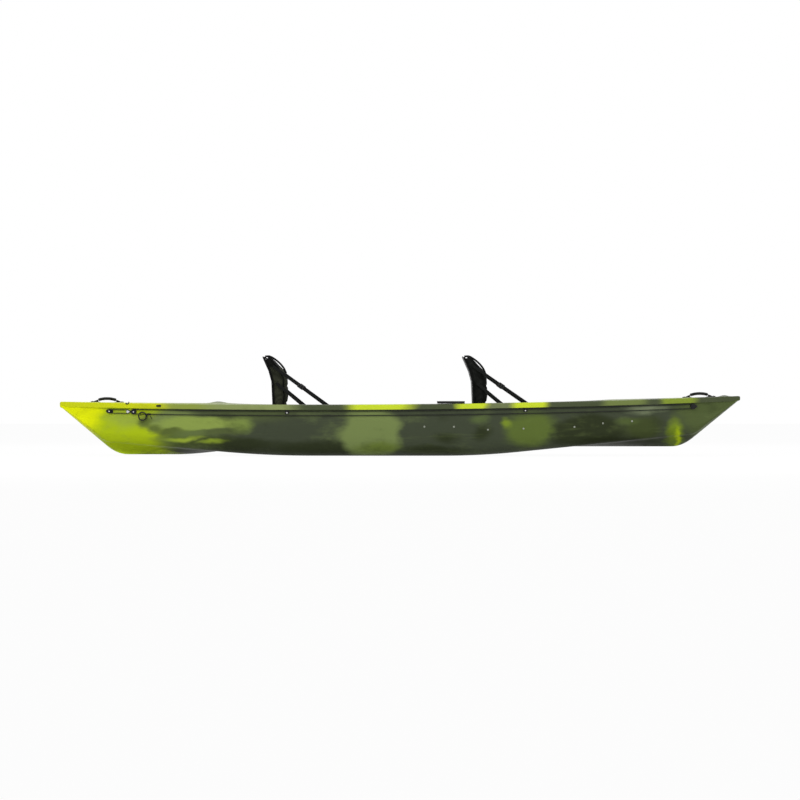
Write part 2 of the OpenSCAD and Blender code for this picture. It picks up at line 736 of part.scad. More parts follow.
module sheave(x) {
    color("gray")
    on_side(x)
    translate([0, -line_offset, -run_mid])
    rotate([90, 0, 0])
    difference() {
        cylinder(r = sheave_rim, h = sheave_w, center = true);
        cylinder(r = axle_r + pin_clearance, h = 2 * sheave_w, center = true);
        rotate_extrude(angle = 360, $fn = 64)
            translate([sheave_r, 0])
            circle(r = groove_r);
        for (a = [0:60:300])
            rotate([0, 0, a])
            translate([(axle_r + sheave_r) / 2 - 0.6, 0, 0])
            cylinder(r = 1.6, h = 2 * sheave_w, center = true);
    }
}
module sheave_pin(x) {
    color("silver")
    on_side(x)
    translate([0, 0, -run_mid]) {
        outward(seat_gap, cheek_out + cheek_t, axle_r);
        outward(cheek_out + cheek_t, cheek_out + cheek_t + 1.5, axle_r + 1.5);
    }
}
// Half turn of the line round a sheave; end is -1 at the stern and 1 at the bow
module line_turn(x, end) {
    on_side(x)
        translate([0, -line_offset, -run_mid])
        rotate([90, 0, 0])
        rotate([0, 0, -90 * end])
        rotate_extrude(angle = 180)
        translate([sheave_r, 0])
        circle(r = line_r, $fn = 24);
}
module upper_line() {
    color("darkslategray")
    side_arc(-stern_sheave_x, bow_sheave_x, upper_drop, line_r);
}
module lower_line() {
    color("darkslategray")
    side_arc(-stern_sheave_x, bow_sheave_x, lower_drop, line_r);
}
module line_turns() {
    color("darkslategray") {
        line_turn(-stern_sheave_x, -1);
        line_turn(bow_sheave_x, 1);
    }
}
// Guides that hold the upper run; their plates end above the lower run, so the ring passes
guide_eye_r = line_r + 3;
guide_plate_z = lower_drop - line_r - 8;
module line_guides() {
    color("black")
    for (x = [-guide_aft_x, guide_fore_x])
        on_side(x)
        difference() {
            union() {
                translate([0, -seat_gap, -(guide_plate_z + 1.5) / 2])
                    rotate([90, 0, 0])
                    rounded_plate(28, guide_plate_z - 1.5, 3.2, 6);
                translate([-7, -line_offset, -upper_drop])
                    rotate([0, 90, 0])
                    cylinder(r = guide_eye_r, h = 14);
            }
            translate([-20, -line_offset, -upper_drop])
                rotate([0, 90, 0])
                cylinder(r = line_r + 0.1, h = 40);
            translate([0, 0, -guide_plate_z + 8])
                outward(-1, 8, screw_r + pin_clearance);
        }
}
module side_screw(from) {
    outward(from, from + 2, 4);
    outward(-hull_wall - 5, from, screw_r);
}
module trolley_screws() {
    color("white") {
        for (x = [-guide_aft_x, guide_fore_x])
            on_side(x)
            translate([0, 0, -guide_plate_z + 8])
            side_screw(seat_gap + 3.2);
        on_side(-button_x)
            translate([0, 0, -run_mid])
            side_screw(line_offset + line_r + 2.5);
        on_side(bow_sheave_x)
            translate([becket_gap, 0, -run_mid])
            side_screw(cheek_out + cheek_t);
    }
}
// Ring, and the knot that holds it and slides along the lower run with it
ring_r = ring_d / 2 - ring_bar / 2;
ring_drop = lower_drop + ring_r / 2;
ring_offset = line_offset + line_r + 0.6 + ring_bar / 2;
knot_bore = line_r + slide_gap;
knot_lump = 1.5;
knot_start = 30;
knot_lumps = 9;
module trolley_ring() {
    color("black")
    on_side(-ring_x)
    translate([0, -ring_offset, -ring_drop])
    rotate([90, 0, 0])
    rotate_extrude(angle = 360, $fn = 96)
    translate([ring_r, 0])
    circle(d = ring_bar);
}
module trolley_knot() {
    pitch = 2 * knot_lump * 0.95;
    length = pitch * (knot_lumps - 1);
    hitch_r = ring_bar / 2 + 2.1;
    reach = knot_start + length;
    sag = pow(knot_start + length / 2, 2) / (2 * side_radius);
    wrap = knot_bore + knot_lump;
    color("darkslategray")
    on_side(-ring_x) {
        translate([0, sag - line_offset, -lower_drop])
            rotate([0, 90, 0])
            difference() {
                union() {
                    translate([0, 0, knot_start])
                        cylinder(r = wrap, h = length);
                    for (i = [0:knot_lumps - 1])
                        translate([0, 0, knot_start + i * pitch])
                        rotate_extrude(angle = 360)
                        translate([wrap, 0])
                        circle(r = knot_lump, $fn = 20);
                }
                cylinder(r = knot_bore, h = 2 * reach);
            }
        translate([ring_r, -ring_offset, -ring_drop])
            rotate_extrude(angle = 360)
            translate([hitch_r, 0])
            circle(r = 2, $fn = 20);
        bar([ring_r + hitch_r, -ring_offset, -ring_drop],
            [knot_start + 4, -line_offset - wrap, -lower_drop - 3], 2);
        bar([reach - 2, -line_offset - wrap, -lower_drop - 3],
            [reach + 12, -line_offset - 3, -lower_drop - 32], 2);
    }
}

// Foot braces. side_y is the skin's half breadth between chine and strip, inside it
function side_y(x, z, t) = let (s = taper(x),
    low = [chine_half * s - t, lifted(x, chine(x), 0.18)],
    high = [strip_foot(x) - t, strip_top(x) - strip_height])
    low[0] + (high[0] - low[0]) * (z - low[1]) / (high[1] - low[1]);
side_lean = (strip_foot(0) - chine_half) / (strip_top(0) - strip_height - chine_height);
rail_stand = 12;
rail_boss_r = 8;
rail_boss_gap = rail_boss_r * side_lean + 2 * seat_gap;
rail_z = [rear_rail_z, front_rail_z];
rail_x = [rear_rail_x, front_rail_x];
rail_climb = [0, 14];
// Rivets that hold no rail: place along the hull, and height
lone_rivets = [[584, 174], [821, 181], [1161, 192]];
function rivet_point(seat, i) = let (x = rail_x[seat] + i * rivet_pitch, z = rail_z[seat] + i * rail_climb[seat])
    [x, -side_y(x, z, hull_wall), z];
function rail_dir(seat) = unit(rivet_point(seat, 1) - rivet_point(seat, 0));
rail_overrun = (foot_rail_length - rivet_pitch) / 2;
module rail_frame(seat) {
    d = rail_dir(seat);
    w = unit(cross([0, 0, 1], d));
    multmatrix(columns(d, w, cross(d, w), rivet_point(seat, 0)))
        children();
}
tooth_pitch = 20;
module foot_rail(seat, side) {
    rivet_span = norm(rivet_point(seat, 1) - rivet_point(seat, 0));
    color("black")
    for_side(side)
    rail_frame(seat)
    difference() {
        union() {
            translate([-rail_overrun, rail_stand, -foot_rail_h / 2])
                cube([foot_rail_length, foot_rail_t, foot_rail_h]);
            for (x = [0, rivet_span])
                translate([x, rail_boss_gap, 0])
                rotate([-90, 0, 0])
                cylinder(r = rail_boss_r, h = rail_stand - rail_boss_gap + 1);
        }
        for (x = [tooth_pitch:tooth_pitch:foot_rail_length - tooth_pitch])
            translate([x - rail_overrun, rail_stand + foot_rail_t - 3, -foot_rail_h / 4])
            cube([tooth_pitch / 2, 4, foot_rail_h / 2]);
        for (x = [0, rivet_span])
            translate([x, 0, 0])
            rotate([-90, 0, 0])
            cylinder(r = screw_r + pin_clearance, h = 2 * rail_stand);
    }
}
carriage_l = 56;
carriage_wall = 4;
pedal_tilt = 12;
module pedal(seat, side) {
    g = slide_gap;
    y0 = rail_stand - g - 3;
    y1 = rail_stand + foot_rail_t + g + carriage_wall;
    zh = foot_rail_h / 2 + g + carriage_wall;
    mid = rivet_pitch / 2;
    color("dimgray")
    for_side(side)
    rail_frame(seat) {
        difference() {
            translate([mid - carriage_l / 2, y0, -zh])
                cube([carriage_l, y1 - y0, 2 * zh]);
            translate([mid - carriage_l, rail_stand - g, -foot_rail_h / 2 - g])
                cube([2 * carriage_l, foot_rail_t + 2 * g, foot_rail_h + 2 * g]);
            translate([mid - carriage_l, y0 - 1, -9.5])
                cube([2 * carriage_l, rail_stand, 19]);
        }
        translate([mid, y1 + pedal_w / 2 - 4, 0])
            rotate([0, pedal_tilt, 0])
            rotate([0, -90, 0]) {
                rounded_plate(pedal_h, pedal_w, pedal_t, 12);
                for (i = [-2:2])
                    translate([i * pedal_h / 6, 0, pedal_t])
                    rounded_plate(6, pedal_w - 16, 2, 2.5);
            }
    }
}
// Rivet through the skin, with its domed head outside and its shank reaching in past the skin
module rivet(p, reach) {
    translate([p[0], p[1] - hull_wall, p[2]])
        rotate([0, 0, side_yaw(p[0])])
        rotate([90, 0, 0]) {
            cylinder(d = rivet_head_d, h = rivet_head_h);
            translate([0, 0, rivet_head_h])
                cylinder(d1 = rivet_head_d, d2 = rivet_head_d * 0.55, h = rivet_head_h);
            translate([0, 0, -reach - hull_wall])
                cylinder(r = screw_r, h = reach + hull_wall + rivet_head_h);
        }
}
module side_rivets() {
    color("silver")
    for (side = sides)
        for_side(side) {
            for (seat = [0, 1], i = [0, 1])
                rivet(rivet_point(seat, i), rail_stand);
            for (r = lone_rivets)
                rivet([r[0], -side_y(r[0], r[1], hull_wall), r[1]], 0);
        }
}

// Seats. Everything of a seat is placed from its hinge
seat_x = [-rear_hinge_x, front_hinge_x];
lug_r = hinge_pin_r + 7;
lug_t = 18;
lug_out = back_w / 2 - 23;
knuckle_in = lug_out + slide_gap;
pan_back = 34;
leg_l = 36;
leg_w = 50;
leg_places = [20, seat_l - pan_back - 50];
floor_mid = (pontoon_inner + pontoon_outer) / 2;
function leg_foot(x) = max([for (d = [-0.5, 0, 0.5]) for (y = [pontoon_inner, pontoon_outer])
    lifted(x + d * leg_l, pontoon(x + d * leg_l), 0.09)]) + hull_wall + 2 * seat_gap;
module hinge_barrel(y0, y1, r) {
    translate([0, y1, 0])
        rotate([90, 0, 0])
        cylinder(r = r, h = y1 - y0);
}
// Side plate between two distances from the centre, from a profile of X and Z points
module side_plate(y0, y1, profile) {
    translate([0, y1, 0])
        rotate([90, 0, 0])
        linear_extrude(y1 - y0)
        polygon(profile);
}
module seat_base(i) {
    drop = hinge_z - seat_z;
    color("black")
    translate([seat_x[i], 0, hinge_z])
    difference() {
        union() {
            translate([seat_l / 2 - pan_back, 0, -drop - seat_t])
                rounded_plate(seat_l, seat_w, seat_t, 40);
            for (m = [0, 1]) mirror([0, m, 0]) {
                hinge_barrel(lug_out - lug_t, lug_out, lug_r);
                side_plate(lug_out - lug_t, lug_out,
                    [[-lug_r, 0], [lug_r, 0], [lug_r + 14, -drop - 1], [-lug_r - 10, -drop - 1]]);
                for (x = leg_places) {
                    wx = seat_x[i] + x;
                    foot = leg_foot(wx) - hinge_z;
                    translate([x - leg_l / 2, floor_mid * taper(wx) - leg_w / 2, foot])
                        cube([leg_l, leg_w, -drop - 1 - foot]);
                }
            }
        }
        hinge_barrel(-back_w, back_w, hinge_pin_r + pin_clearance);
    }
}
module hinge_pin(i) {
    color("silver")
    translate([seat_x[i], 0, hinge_z])
    hinge_barrel(-back_w / 2, back_w / 2, hinge_pin_r);
}

// Crowned cushion between a front and a back grid of points
function grid_faces(nu, nv) = let (n = nu + 1, m = (nu + 1) * (nv + 1)) concat(
    [for (j = [0:nv - 1], i = [0:nu - 1], k = [0, 1]) let (a = j * n + i)
        k == 0 ? [a, a + n + 1, a + 1] : [a, a + n, a + n + 1]],
    [for (j = [0:nv - 1], i = [0:nu - 1], k = [0, 1]) let (a = m + j * n + i)
        k == 0 ? [a, a + 1, a + n + 1] : [a, a + n + 1, a + n]],
    [for (i = [0:nu - 1], k = [0, 1]) k == 0 ? [i, i + 1, m + i + 1] : [i, m + i + 1, m + i]],
    [for (i = [0:nu - 1], k = [0, 1]) let (a = nv * n + i)
        k == 0 ? [a, m + a + 1, a + 1] : [a, m + a, m + a + 1]],
    [for (j = [0:nv - 1], k = [0, 1]) let (a = j * n)
        k == 0 ? [a, m + a, m + a + n] : [a, m + a + n, a + n]],
    [for (j = [0:nv - 1], k = [0, 1]) let (a = j * n + nu)
        k == 0 ? [a, m + a + n, m + a] : [a, a + n, m + a + n]]);
function crown(u, v) = (1 - pow(u, 4)) * (1 - pow(v, 4));
// Sewn channel: a groove of depth 1 about the place c
function channel(t, c, w) = exp(-pow((t - c) / w, 2));

cushion_back = 45;
cushion_l = seat_l - pan_back - cushion_back - 16;
cushion_half = seat_w / 2 - 16;
cushion_nu = 18;
cushion_nv = 18;
cushion_draw = 7;
cushion_channel = 5;
module seat_cushion(i) {
    grid = [for (j = [0:cushion_nv], k = [0:cushion_nu]) [2 * k / cushion_nu - 1, 2 * j / cushion_nv - 1]];
    base = seat_z + seat_gap - hinge_z;
    px = function (u, v) cushion_back + cushion_l / 2 + u * (cushion_l / 2 - cushion_draw * (1 - v * v) * abs(u));
    py = function (u, v) v * (cushion_half - cushion_draw * (1 - u * u) * abs(v));
    pz = function (u, v) cushion_edge + cushion_crown * crown(u, v)
        - cushion_channel * crown(u, v) * (channel(v, 0.42, 0.09) + channel(v, -0.42, 0.09));
    top = [for (g = grid) [px(g[0], g[1]), py(g[0], g[1]), base + pz(g[0], g[1])]];
    low = [for (g = grid) [px(g[0], g[1]), py(g[0], g[1]), base]];
    color("dimgray")
    translate([seat_x[i], 0, hinge_z])
    polyhedron(points = concat(top, low), faces = grid_faces(cushion_nu, cushion_nv));
}

// Backrest profile from the hinge: height, then the back of the shell or the front of the pad
back_line = [[0, -20], [135, -26], [290, -33], [360, -52], [440, -88], [460, -96]];
pad_front = [[70, 46], [137, 64], [200, 72], [320, 66], [345, 52], [360, 47], [373, 40], [387, 27],
    [400, 14], [413, 3], [427, -5], [440, -22], [452, -46]];
back_low = 40;
back_top = 458;
pad_low = 74;
pad_top = 452;
pad_half = back_w / 2 - 2;
corner_r = 70;
function back_x(d) = lookup(d, back_line);
shell_heights = [back_low, 90, 135, 210, 290, 325, 360, 400, 440, back_top];
module backrest_shell(i) {
    n = len(shell_heights);
    profile = concat([for (d = shell_heights) [back_x(d), d]],
        [for (k = [n - 1:-1:0]) [back_x(shell_heights[k]) + shell_t, shell_heights[k]]]);
    arm_top = pad_low - 4;
    arm = [[1 - lug_r, 0], [lug_r - 1, 0], [back_x(arm_top) + shell_t - 1, arm_top], [back_x(arm_top) + 1, arm_top]];
    color("black")
    translate([seat_x[i], 0, hinge_z])
    difference() {
        union() {
            intersection() {
                side_plate(-pad_half, pad_half, profile);
                translate([-200, 0, (back_low + back_top) / 2])
                    rotate([90, 0, 90])
                    rounded_plate(2 * pad_half, back_top - back_low, 400, corner_r);
            }
            for (m = [0, 1]) mirror([0, m, 0]) {
                hinge_barrel(knuckle_in, back_w / 2 - 3, lug_r);
                side_plate(knuckle_in + 0.5, back_w / 2 - 3.5, arm);
            }
        }
        hinge_barrel(-back_w, back_w, hinge_pin_r + pin_clearance);
    }
}
pad_nu = 18;
pad_breaks = concat([pad_low], [for (p = back_line) if (p[0] > pad_low && p[0] < pad_top) p[0]], [pad_top]);
pad_row = 15;
pad_heights = concat([for (k = [0:len(pad_breaks) - 2])
    let (span = pad_breaks[k + 1] - pad_breaks[k], n = ceil(span / pad_row))
    for (r = [0:n - 1]) pad_breaks[k] + span * r / n], [pad_top]);
pad_nv = len(pad_heights) - 1;
pad_draw = 8;
pad_channel = 5;
pad_edge = 0.8;
module backrest_pad(i) {
    grid = [for (d = pad_heights, k = [0:pad_nu]) [2 * k / pad_nu - 1, (d - pad_low) / (pad_top - pad_low)]];
    height = function (v) pad_low + (pad_top - pad_low) * v;
    round_in = function (v) let (t = max(0, (height(v) - (pad_top - corner_r)) / corner_r))
        corner_r * 0.75 * (1 - sqrt(max(0, 1 - t * t)));
    py = function (u, v) u * (pad_half - round_in(v) - pad_draw * (1 - pow(2 * v - 1, 2)) * abs(u));
    rear = function (v) back_x(height(v)) + shell_t + seat_gap;
    fx = function (u, v) let (r = rear(v), d = lookup(height(v), pad_front) - r, c = crown(u, 2 * v - 1))
        r + d * (pad_edge + (1 - pad_edge) * c) - pad_channel * c * channel(v, 0.5, 0.05);
    front = [for (g = grid) [fx(g[0], g[1]), py(g[0], g[1]), height(g[1])]];
    behind = [for (g = grid) [rear(g[1]), py(g[0], g[1]), height(g[1])]];
    color("dimgray")
    translate([seat_x[i], 0, hinge_z])
    polyhedron(points = concat(front, behind), faces = grid_faces(pad_nu, pad_nv));
}

// Webbing strip from p to q with its width across, given by the direction that it faces
module webbing(p, q, face) {
    d = unit(q - p);
    across = unit(cross(face, d));
    out = cross(d, across);
    multmatrix(columns(d, across, out, p))
        translate([0, -webbing_w / 2, -webbing_t / 2])
        cube([norm(q - p), webbing_w, webbing_t]);
}
strap_clear = seat_gap + webbing_t;
// Half width of the pad's side at a height over the hinge
function pad_side(d) = let (v = (d - pad_low) / (pad_top - pad_low)) pad_half - pad_draw * (1 - pow(2 * v - 1, 2));
// Ends of the straps from the hinge: at the backrest's side, and the anchors on the hull side
upper_start = [-22, 392];
lower_start = [0, 280];
upper_run = 462;
lower_run = 365;
upper_anchor_drop = 62;
lower_anchor_z = 181;
anchor_t = 5;
anchor_l = 34;
anchor_h = 22;
anchor_gap = anchor_h / 2 * side_lean + 2 * seat_gap;
anchor_bar_r = 3;
anchor_bar_y = anchor_gap + anchor_t + anchor_bar_r - 1;
function upper_anchor(i) = let (x = seat_x[i] + upper_run, z = strip_top(x) - upper_anchor_drop)
    [x, -(strip_half(x) - side_slope * upper_anchor_drop - hull_wall), z];
function lower_anchor(i) = let (x = seat_x[i] + lower_run) [x, -side_y(x, lower_anchor_z, hull_wall), lower_anchor_z];
function strap_end(a) = a + [0, anchor_bar_y, 0];
function strap_start(i, s) = [seat_x[i] + s[0], -pad_side(s[1]) - strap_clear, hinge_z + s[1]];
module strap_pair(i, start, anchor) {
    for (side = sides)
        for_side(side)
        webbing(strap_start(i, start), strap_end(anchor), [0, 1, 0]);
}
module upper_straps(i) {
    color("black")
    strap_pair(i, upper_start, upper_anchor(i));
}
module lower_straps(i) {
    color("black")
    strap_pair(i, lower_start, lower_anchor(i));
}
buckle_at = 0.385;
buckle_l = 44;
buckle_w = webbing_w + 8;
buckle_t = 4;
module strap_buckles(i) {
    p = strap_start(i, upper_start);
    q = strap_end(upper_anchor(i));
    d = unit(q - p);
    across = unit(cross([0, 1, 0], d));
    color("black")
    for (side = sides)
        for_side(side)
        multmatrix(columns(d, across, cross(d, across), p + buckle_at * (q - p)))
        difference() {
            translate([0, 0, -buckle_t - webbing_t / 2])
                rounded_plate(buckle_l, buckle_w, 2 * buckle_t + webbing_t, 6);
            cube([2 * buckle_l, webbing_w + 0.4, webbing_t + 0.4], center = true);
            for (s = [-1, 1])
                translate([s * buckle_l / 5, 0, 0])
                cube([buckle_l / 5, webbing_w, 40], center = true);
        }
}
// Anchor on the inside of the hull: a foot on the wall and a bar that the webbing is sewn round
module strap_anchor(a) {
    translate(a)
        rotate([0, 0, side_yaw(a[0])]) {
            translate([0, anchor_gap, 0])
                rotate([-90, 0, 0])
                rounded_plate(anchor_l, anchor_h, anchor_t, 8);
            translate([0, anchor_bar_y, -webbing_w / 2 - 2])
                cylinder(r = anchor_bar_r, h = webbing_w + 4);
        }
}
module strap_anchors(i) {
    color("dimgray")
    for (side = sides, a = [upper_anchor(i), lower_anchor(i)])
        for_side(side)
        strap_anchor(a);
}
// Padded grab strap that bridges the hollow at the top of the backrest, along its inner face
top_strap = [[54.6, 342.5], [50, 355], [44, 368], [36, 382], [15, 407], [-17, 434], [-50, 452.6], [-80, 452.6]];
top_strap_t = 13;
top_strap_w = 60;
module backrest_top_strap(i) {
    n = len(top_strap);
    normal = function (k) let (a = top_strap[max(k - 1, 0)], b = top_strap[min(k + 1, n - 1)], d = unit(b - a))
        [d[1], -d[0]] * top_strap_t;
    profile = concat(top_strap, [for (k = [n - 1:-1:0]) top_strap[k] + normal(k)]);
    color("black")
    translate([seat_x[i], 0, hinge_z])
    side_plate(-top_strap_w / 2, top_strap_w / 2, profile);
}

hull();
bow_flotation_block();
stern_flotation_block();
handle_strap(bow_handle_x);  // bow_handle_strap
handle_grip(bow_handle_x);  // bow_handle_grip
handle_strap(stern_handle_x);  // stern_handle_strap
handle_grip(stern_handle_x);  // stern_handle_grip
handle_screws();
for (side = sides)
    gear_rail(side);
gear_rail_screws();  // accessory_rail_screws
rim_hook();
rim_pad();
trolley_button();
shock_cord();  // trolley_shock_cord
shackle();  // trolley_shackle
stern_block();  // trolley_stern_block
sheave(-stern_sheave_x);  // trolley_stern_sheave
sheave_pin(-stern_sheave_x);  // trolley_stern_pin
bow_block();  // trolley_bow_block
sheave(bow_sheave_x);  // trolley_bow_sheave
sheave_pin(bow_sheave_x);  // trolley_bow_pin
upper_line();  // trolley_upper_line
lower_line();  // trolley_lower_line
line_turns();  // trolley_line_turns
line_guides();  // trolley_line_guides
trolley_screws();
trolley_ring();
trolley_knot();
for (i = [0, 1], side = sides) {
    foot_rail(i, side);
    pedal(i, side);
}
side_rivets();
for (i = [0, 1]) {
    seat_base(i);
    seat_cushion(i);
    hinge_pin(i);
    backrest_shell(i);
    backrest_pad(i);
    backrest_top_strap(i);
    upper_straps(i);
    lower_straps(i);
    strap_buckles(i);
    strap_anchors(i);
}
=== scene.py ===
import math

import bmesh
import bpy
import numpy as np
from mathutils import Matrix, Vector


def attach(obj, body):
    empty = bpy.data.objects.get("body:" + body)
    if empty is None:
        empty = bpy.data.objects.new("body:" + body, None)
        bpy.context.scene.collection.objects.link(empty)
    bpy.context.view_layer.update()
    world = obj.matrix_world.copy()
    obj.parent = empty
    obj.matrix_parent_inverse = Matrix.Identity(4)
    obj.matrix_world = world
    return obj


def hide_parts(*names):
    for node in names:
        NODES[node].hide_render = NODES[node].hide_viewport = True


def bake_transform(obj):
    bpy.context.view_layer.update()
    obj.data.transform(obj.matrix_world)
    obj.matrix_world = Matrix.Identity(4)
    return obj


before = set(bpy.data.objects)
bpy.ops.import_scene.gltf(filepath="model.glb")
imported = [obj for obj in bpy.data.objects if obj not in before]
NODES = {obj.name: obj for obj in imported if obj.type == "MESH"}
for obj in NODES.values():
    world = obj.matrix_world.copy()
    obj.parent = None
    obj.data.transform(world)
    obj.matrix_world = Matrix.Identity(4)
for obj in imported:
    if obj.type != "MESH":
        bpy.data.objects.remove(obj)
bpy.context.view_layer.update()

SCENE = bpy.context.scene

# Hull lines, metres. +X to the bow, +Y to port, +Z up
HALF_LENGTH = 2.285
HALF_RIM = 0.405
HALF_TIP = 0.025
PLAN_SAG = HALF_RIM - HALF_TIP
PLAN_RADIUS = (HALF_LENGTH ** 2 + PLAN_SAG ** 2) / (2 * PLAN_SAG)
SHEER_HEIGHT = 0.341
RISE_SLOPE = 0.019 / HALF_LENGTH
SIDE_SLOPE = 0.038 / PLAN_SAG
WALL = 0.005
RIM_OVERHANG = 0.010
RIM_HEIGHT = 0.034
RIM_ROUND = 0.008
STRIP_HEIGHT = 0.070
GUNWALE = 0.045
DECK_CROWN = 0.012
COCKPIT = (-1.130, 1.400)
COCKPIT_MIDDLE = sum(COCKPIT) / 2
COCKPIT_HALF = (COCKPIT[1] - COCKPIT[0]) / 2
COCKPIT_SQUARE = 14
HOLLOW = (-1.872, 1.843)
TUNNEL_HALF, TUNNEL_HEIGHT = 0.110, 0.060
TUNNEL_END, TUNNEL_RUN = -0.850, 0.650
SHOULDER_SHARE = 0.45
PONTOON_INNER, PONTOON_OUTER = 0.195, 0.290
BILGE_HALF, BILGE_HEIGHT = 0.342, 0.034
CHINE_HALF, CHINE_HEIGHT = 0.366, 0.095
STERN_KEEL = 0.007
STERN_OVERHANG, BOW_OVERHANG = 0.393, 0.462
STERN_RAKE, BOW_RAKE = 0.84, 0.817
STERN_ROCKER, STERN_ROCKER_FROM = 0.085, -0.880
BOW_ROCKER, BOW_ROCKER_FROM = 0.1, 0.540
KEEL_BLEND, SHAPE_BLEND, ROCKER_BLEND = 0.060, 0.024, 0.025
# Humps of the deck: height, start and end, measured from the nearer tip
STERN_HUMP = (0.012, 0.980, 1.150)
BOW_HUMP = (0.009, 0.060, 0.156)
# Share of the height between stem and sheer at which each line of the hull runs into the raked ends
LIFT = {"tunnel": 0.03, "inner": 0.06, "outer": 0.09, "bilge": 0.13,
        "chine": 0.18, "foot": 0.26, "strip": 0.34, "rim": 0.36}

# Seats, from their hinges
SEATS = {"rear": -0.826, "front": 0.512}
HINGE_Z = 0.205
SEAT_TOP = 0.142
SHELL_T = 0.006
# Profiles of the backrest: height over the hinge, place along the hull
BACK_LINE = [(0, -0.020), (0.135, -0.026), (0.290, -0.033), (0.360, -0.052), (0.440, -0.088),
             (0.460, -0.096)]
PAD_FRONT = [(0.070, 0.046), (0.137, 0.064), (0.200, 0.072), (0.320, 0.066), (0.345, 0.052),
             (0.360, 0.047), (0.373, 0.040), (0.387, 0.027), (0.400, 0.014), (0.413, 0.003),
             (0.427, -0.005), (0.440, -0.022), (0.452, -0.046)]

TINY = 1e-9


def smax(a, b, k):
    """Larger of two values, rounded off over a band of width k where they meet."""
    return max(a, b) + max(k - abs(a - b), 0) ** 2 / (4 * k)


def ease(t):
    t = min(max(t, 0.0), 1.0)
    return t * t * (3 - 2 * t)


def hump(x, low, high):
    t = (x - low) / (high - low)
    return math.sin(math.pi * t) ** 2 if 0 < t < 1 else 0.0


def half_beam(x):
    return math.sqrt(PLAN_RADIUS ** 2 - x * x) - (PLAN_RADIUS - HALF_RIM)


def beam_share(x):
    return half_beam(x) / HALF_RIM


def sheer(x):
    return SHEER_HEIGHT + RISE_SLOPE * x + SIDE_SLOPE * (HALF_RIM - half_beam(x))


def stem(x):
    """Height of the raked ends, which is below the keel amidships."""
    return max(STERN_RAKE * (STERN_OVERHANG - HALF_LENGTH - x), BOW_RAKE * (x - HALF_LENGTH + BOW_OVERHANG))


def tunnel(x):
    return TUNNEL_HEIGHT + (STERN_KEEL - TUNNEL_HEIGHT) * ease((TUNNEL_END - x) / TUNNEL_RUN)


def keel(x):
    return smax(tunnel(x), stem(x), KEEL_BLEND)


def pontoon(x):
    bow = smax(0, BOW_ROCKER * (x - BOW_ROCKER_FROM), ROCKER_BLEND)
    return smax(bow, STERN_ROCKER * (STERN_ROCKER_FROM - x), ROCKER_BLEND)


def shoulder(x):
    return tunnel(x) + SHOULDER_SHARE * smax(0, pontoon(x) - tunnel(x), SHAPE_BLEND)


def bilge(x):
    return pontoon(x) + BILGE_HEIGHT


def chine(x):
    return smax(pontoon(x) / 2 + CHINE_HEIGHT, bilge(x) + SHAPE_BLEND, SHAPE_BLEND)


def strip_top(x):
    return sheer(x) - RIM_HEIGHT


def strip_low(x):
    return strip_top(x) - STRIP_HEIGHT


def lifted(x, z, line):
    """Height of a line of the hull, raised where it runs into the raked ends."""
    return smax(z, stem(x) + LIFT[line] * (sheer(x) - stem(x)), SHAPE_BLEND)


def deck_z(x, y):
    rise = DECK_CROWN * beam_share(x)
    for (height, low, high), from_tip in ((STERN_HUMP, HALF_LENGTH + x), (BOW_HUMP, HALF_LENGTH - x)):
        rise += height * hump(from_tip, low, high)
    return sheer(x) + (1 - (y / half_beam(x)) ** 2) * rise


def tip_share(x):
    """1 along the hull, less where it narrows to the tips."""
    return min(1, half_beam(x) / (4 * HALF_TIP))


def strip_half(x):
    return half_beam(x) - RIM_OVERHANG * tip_share(x)


def strip_foot(x):
    return strip_half(x) - SIDE_SLOPE * STRIP_HEIGHT * tip_share(x)


def cockpit_y(x):
    along = abs((x - COCKPIT_MIDDLE) / COCKPIT_HALF)
    return (half_beam(x) - GUNWALE) * math.sqrt(max(0, 1 - along ** COCKPIT_SQUARE))


# Mesh helpers
MERGE_DISTANCE = 1e-5
CAD_CREASE, SKIN_CREASE = 35, 40


def obj_from(name, verts, faces, material, body=None):
    mesh = bpy.data.meshes.new(name)
    mesh.from_pydata([tuple(v) for v in verts], [], faces)
    mesh.update()
    mesh.materials.append(material)
    for p in mesh.polygons:
        p.use_smooth = True
    obj = bpy.data.objects.new(name, mesh)
    SCENE.collection.objects.link(obj)
    if body:
        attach(obj, body)
    return obj


def clean(obj, distance=0.0):
    """Makes the faces point outward, once points nearer than the distance are merged."""
    bm = bmesh.new()
    bm.from_mesh(obj.data)
    if distance:
        bmesh.ops.remove_doubles(bm, verts=bm.verts, dist=distance)
    bmesh.ops.recalc_face_normals(bm, faces=bm.faces)
    bm.to_mesh(obj.data)
    bm.free()


def apply_modifiers(obj):
    graph = bpy.context.evaluated_depsgraph_get()
    mesh = bpy.data.meshes.new_from_object(obj.evaluated_get(graph))
    old = obj.data
    obj.modifiers.clear()
    obj.data = mesh
    bpy.data.meshes.remove(old)


def sharp_edges(obj, degrees):
    """Smooth shading with edges steeper than the angle left sharp."""
    bm = bmesh.new()
    bm.from_mesh(obj.data)
    limit = math.radians(degrees)
    for e in bm.edges:
        e.smooth = len(e.link_faces) == 2 and e.calc_face_angle(0) < limit
    for f in bm.faces:
        f.smooth = True
    bm.to_mesh(obj.data)
    bm.free()


def along_line(t, line):
    """Second value of a line's points at the first value t, which may be an array."""
    return np.interp(t, [p[0] for p in line], [p[1] for p in line])


# Material helpers
def rgb(text):
    """Linear colour from a hex colour as it is seen on a screen."""
    parts = [int(text[i:i + 2], 16) / 255 for i in (0, 2, 4)]
    return tuple(c / 12.92 if c <= 0.04045 else ((c + 0.055) / 1.055) ** 2.4 for c in parts) + (1.0,)


def toned(colour, factor, lift=0.0):
    """A colour made darker or lighter."""
    return tuple(min(1, c * factor + lift) for c in colour[:3]) + (1.0,)


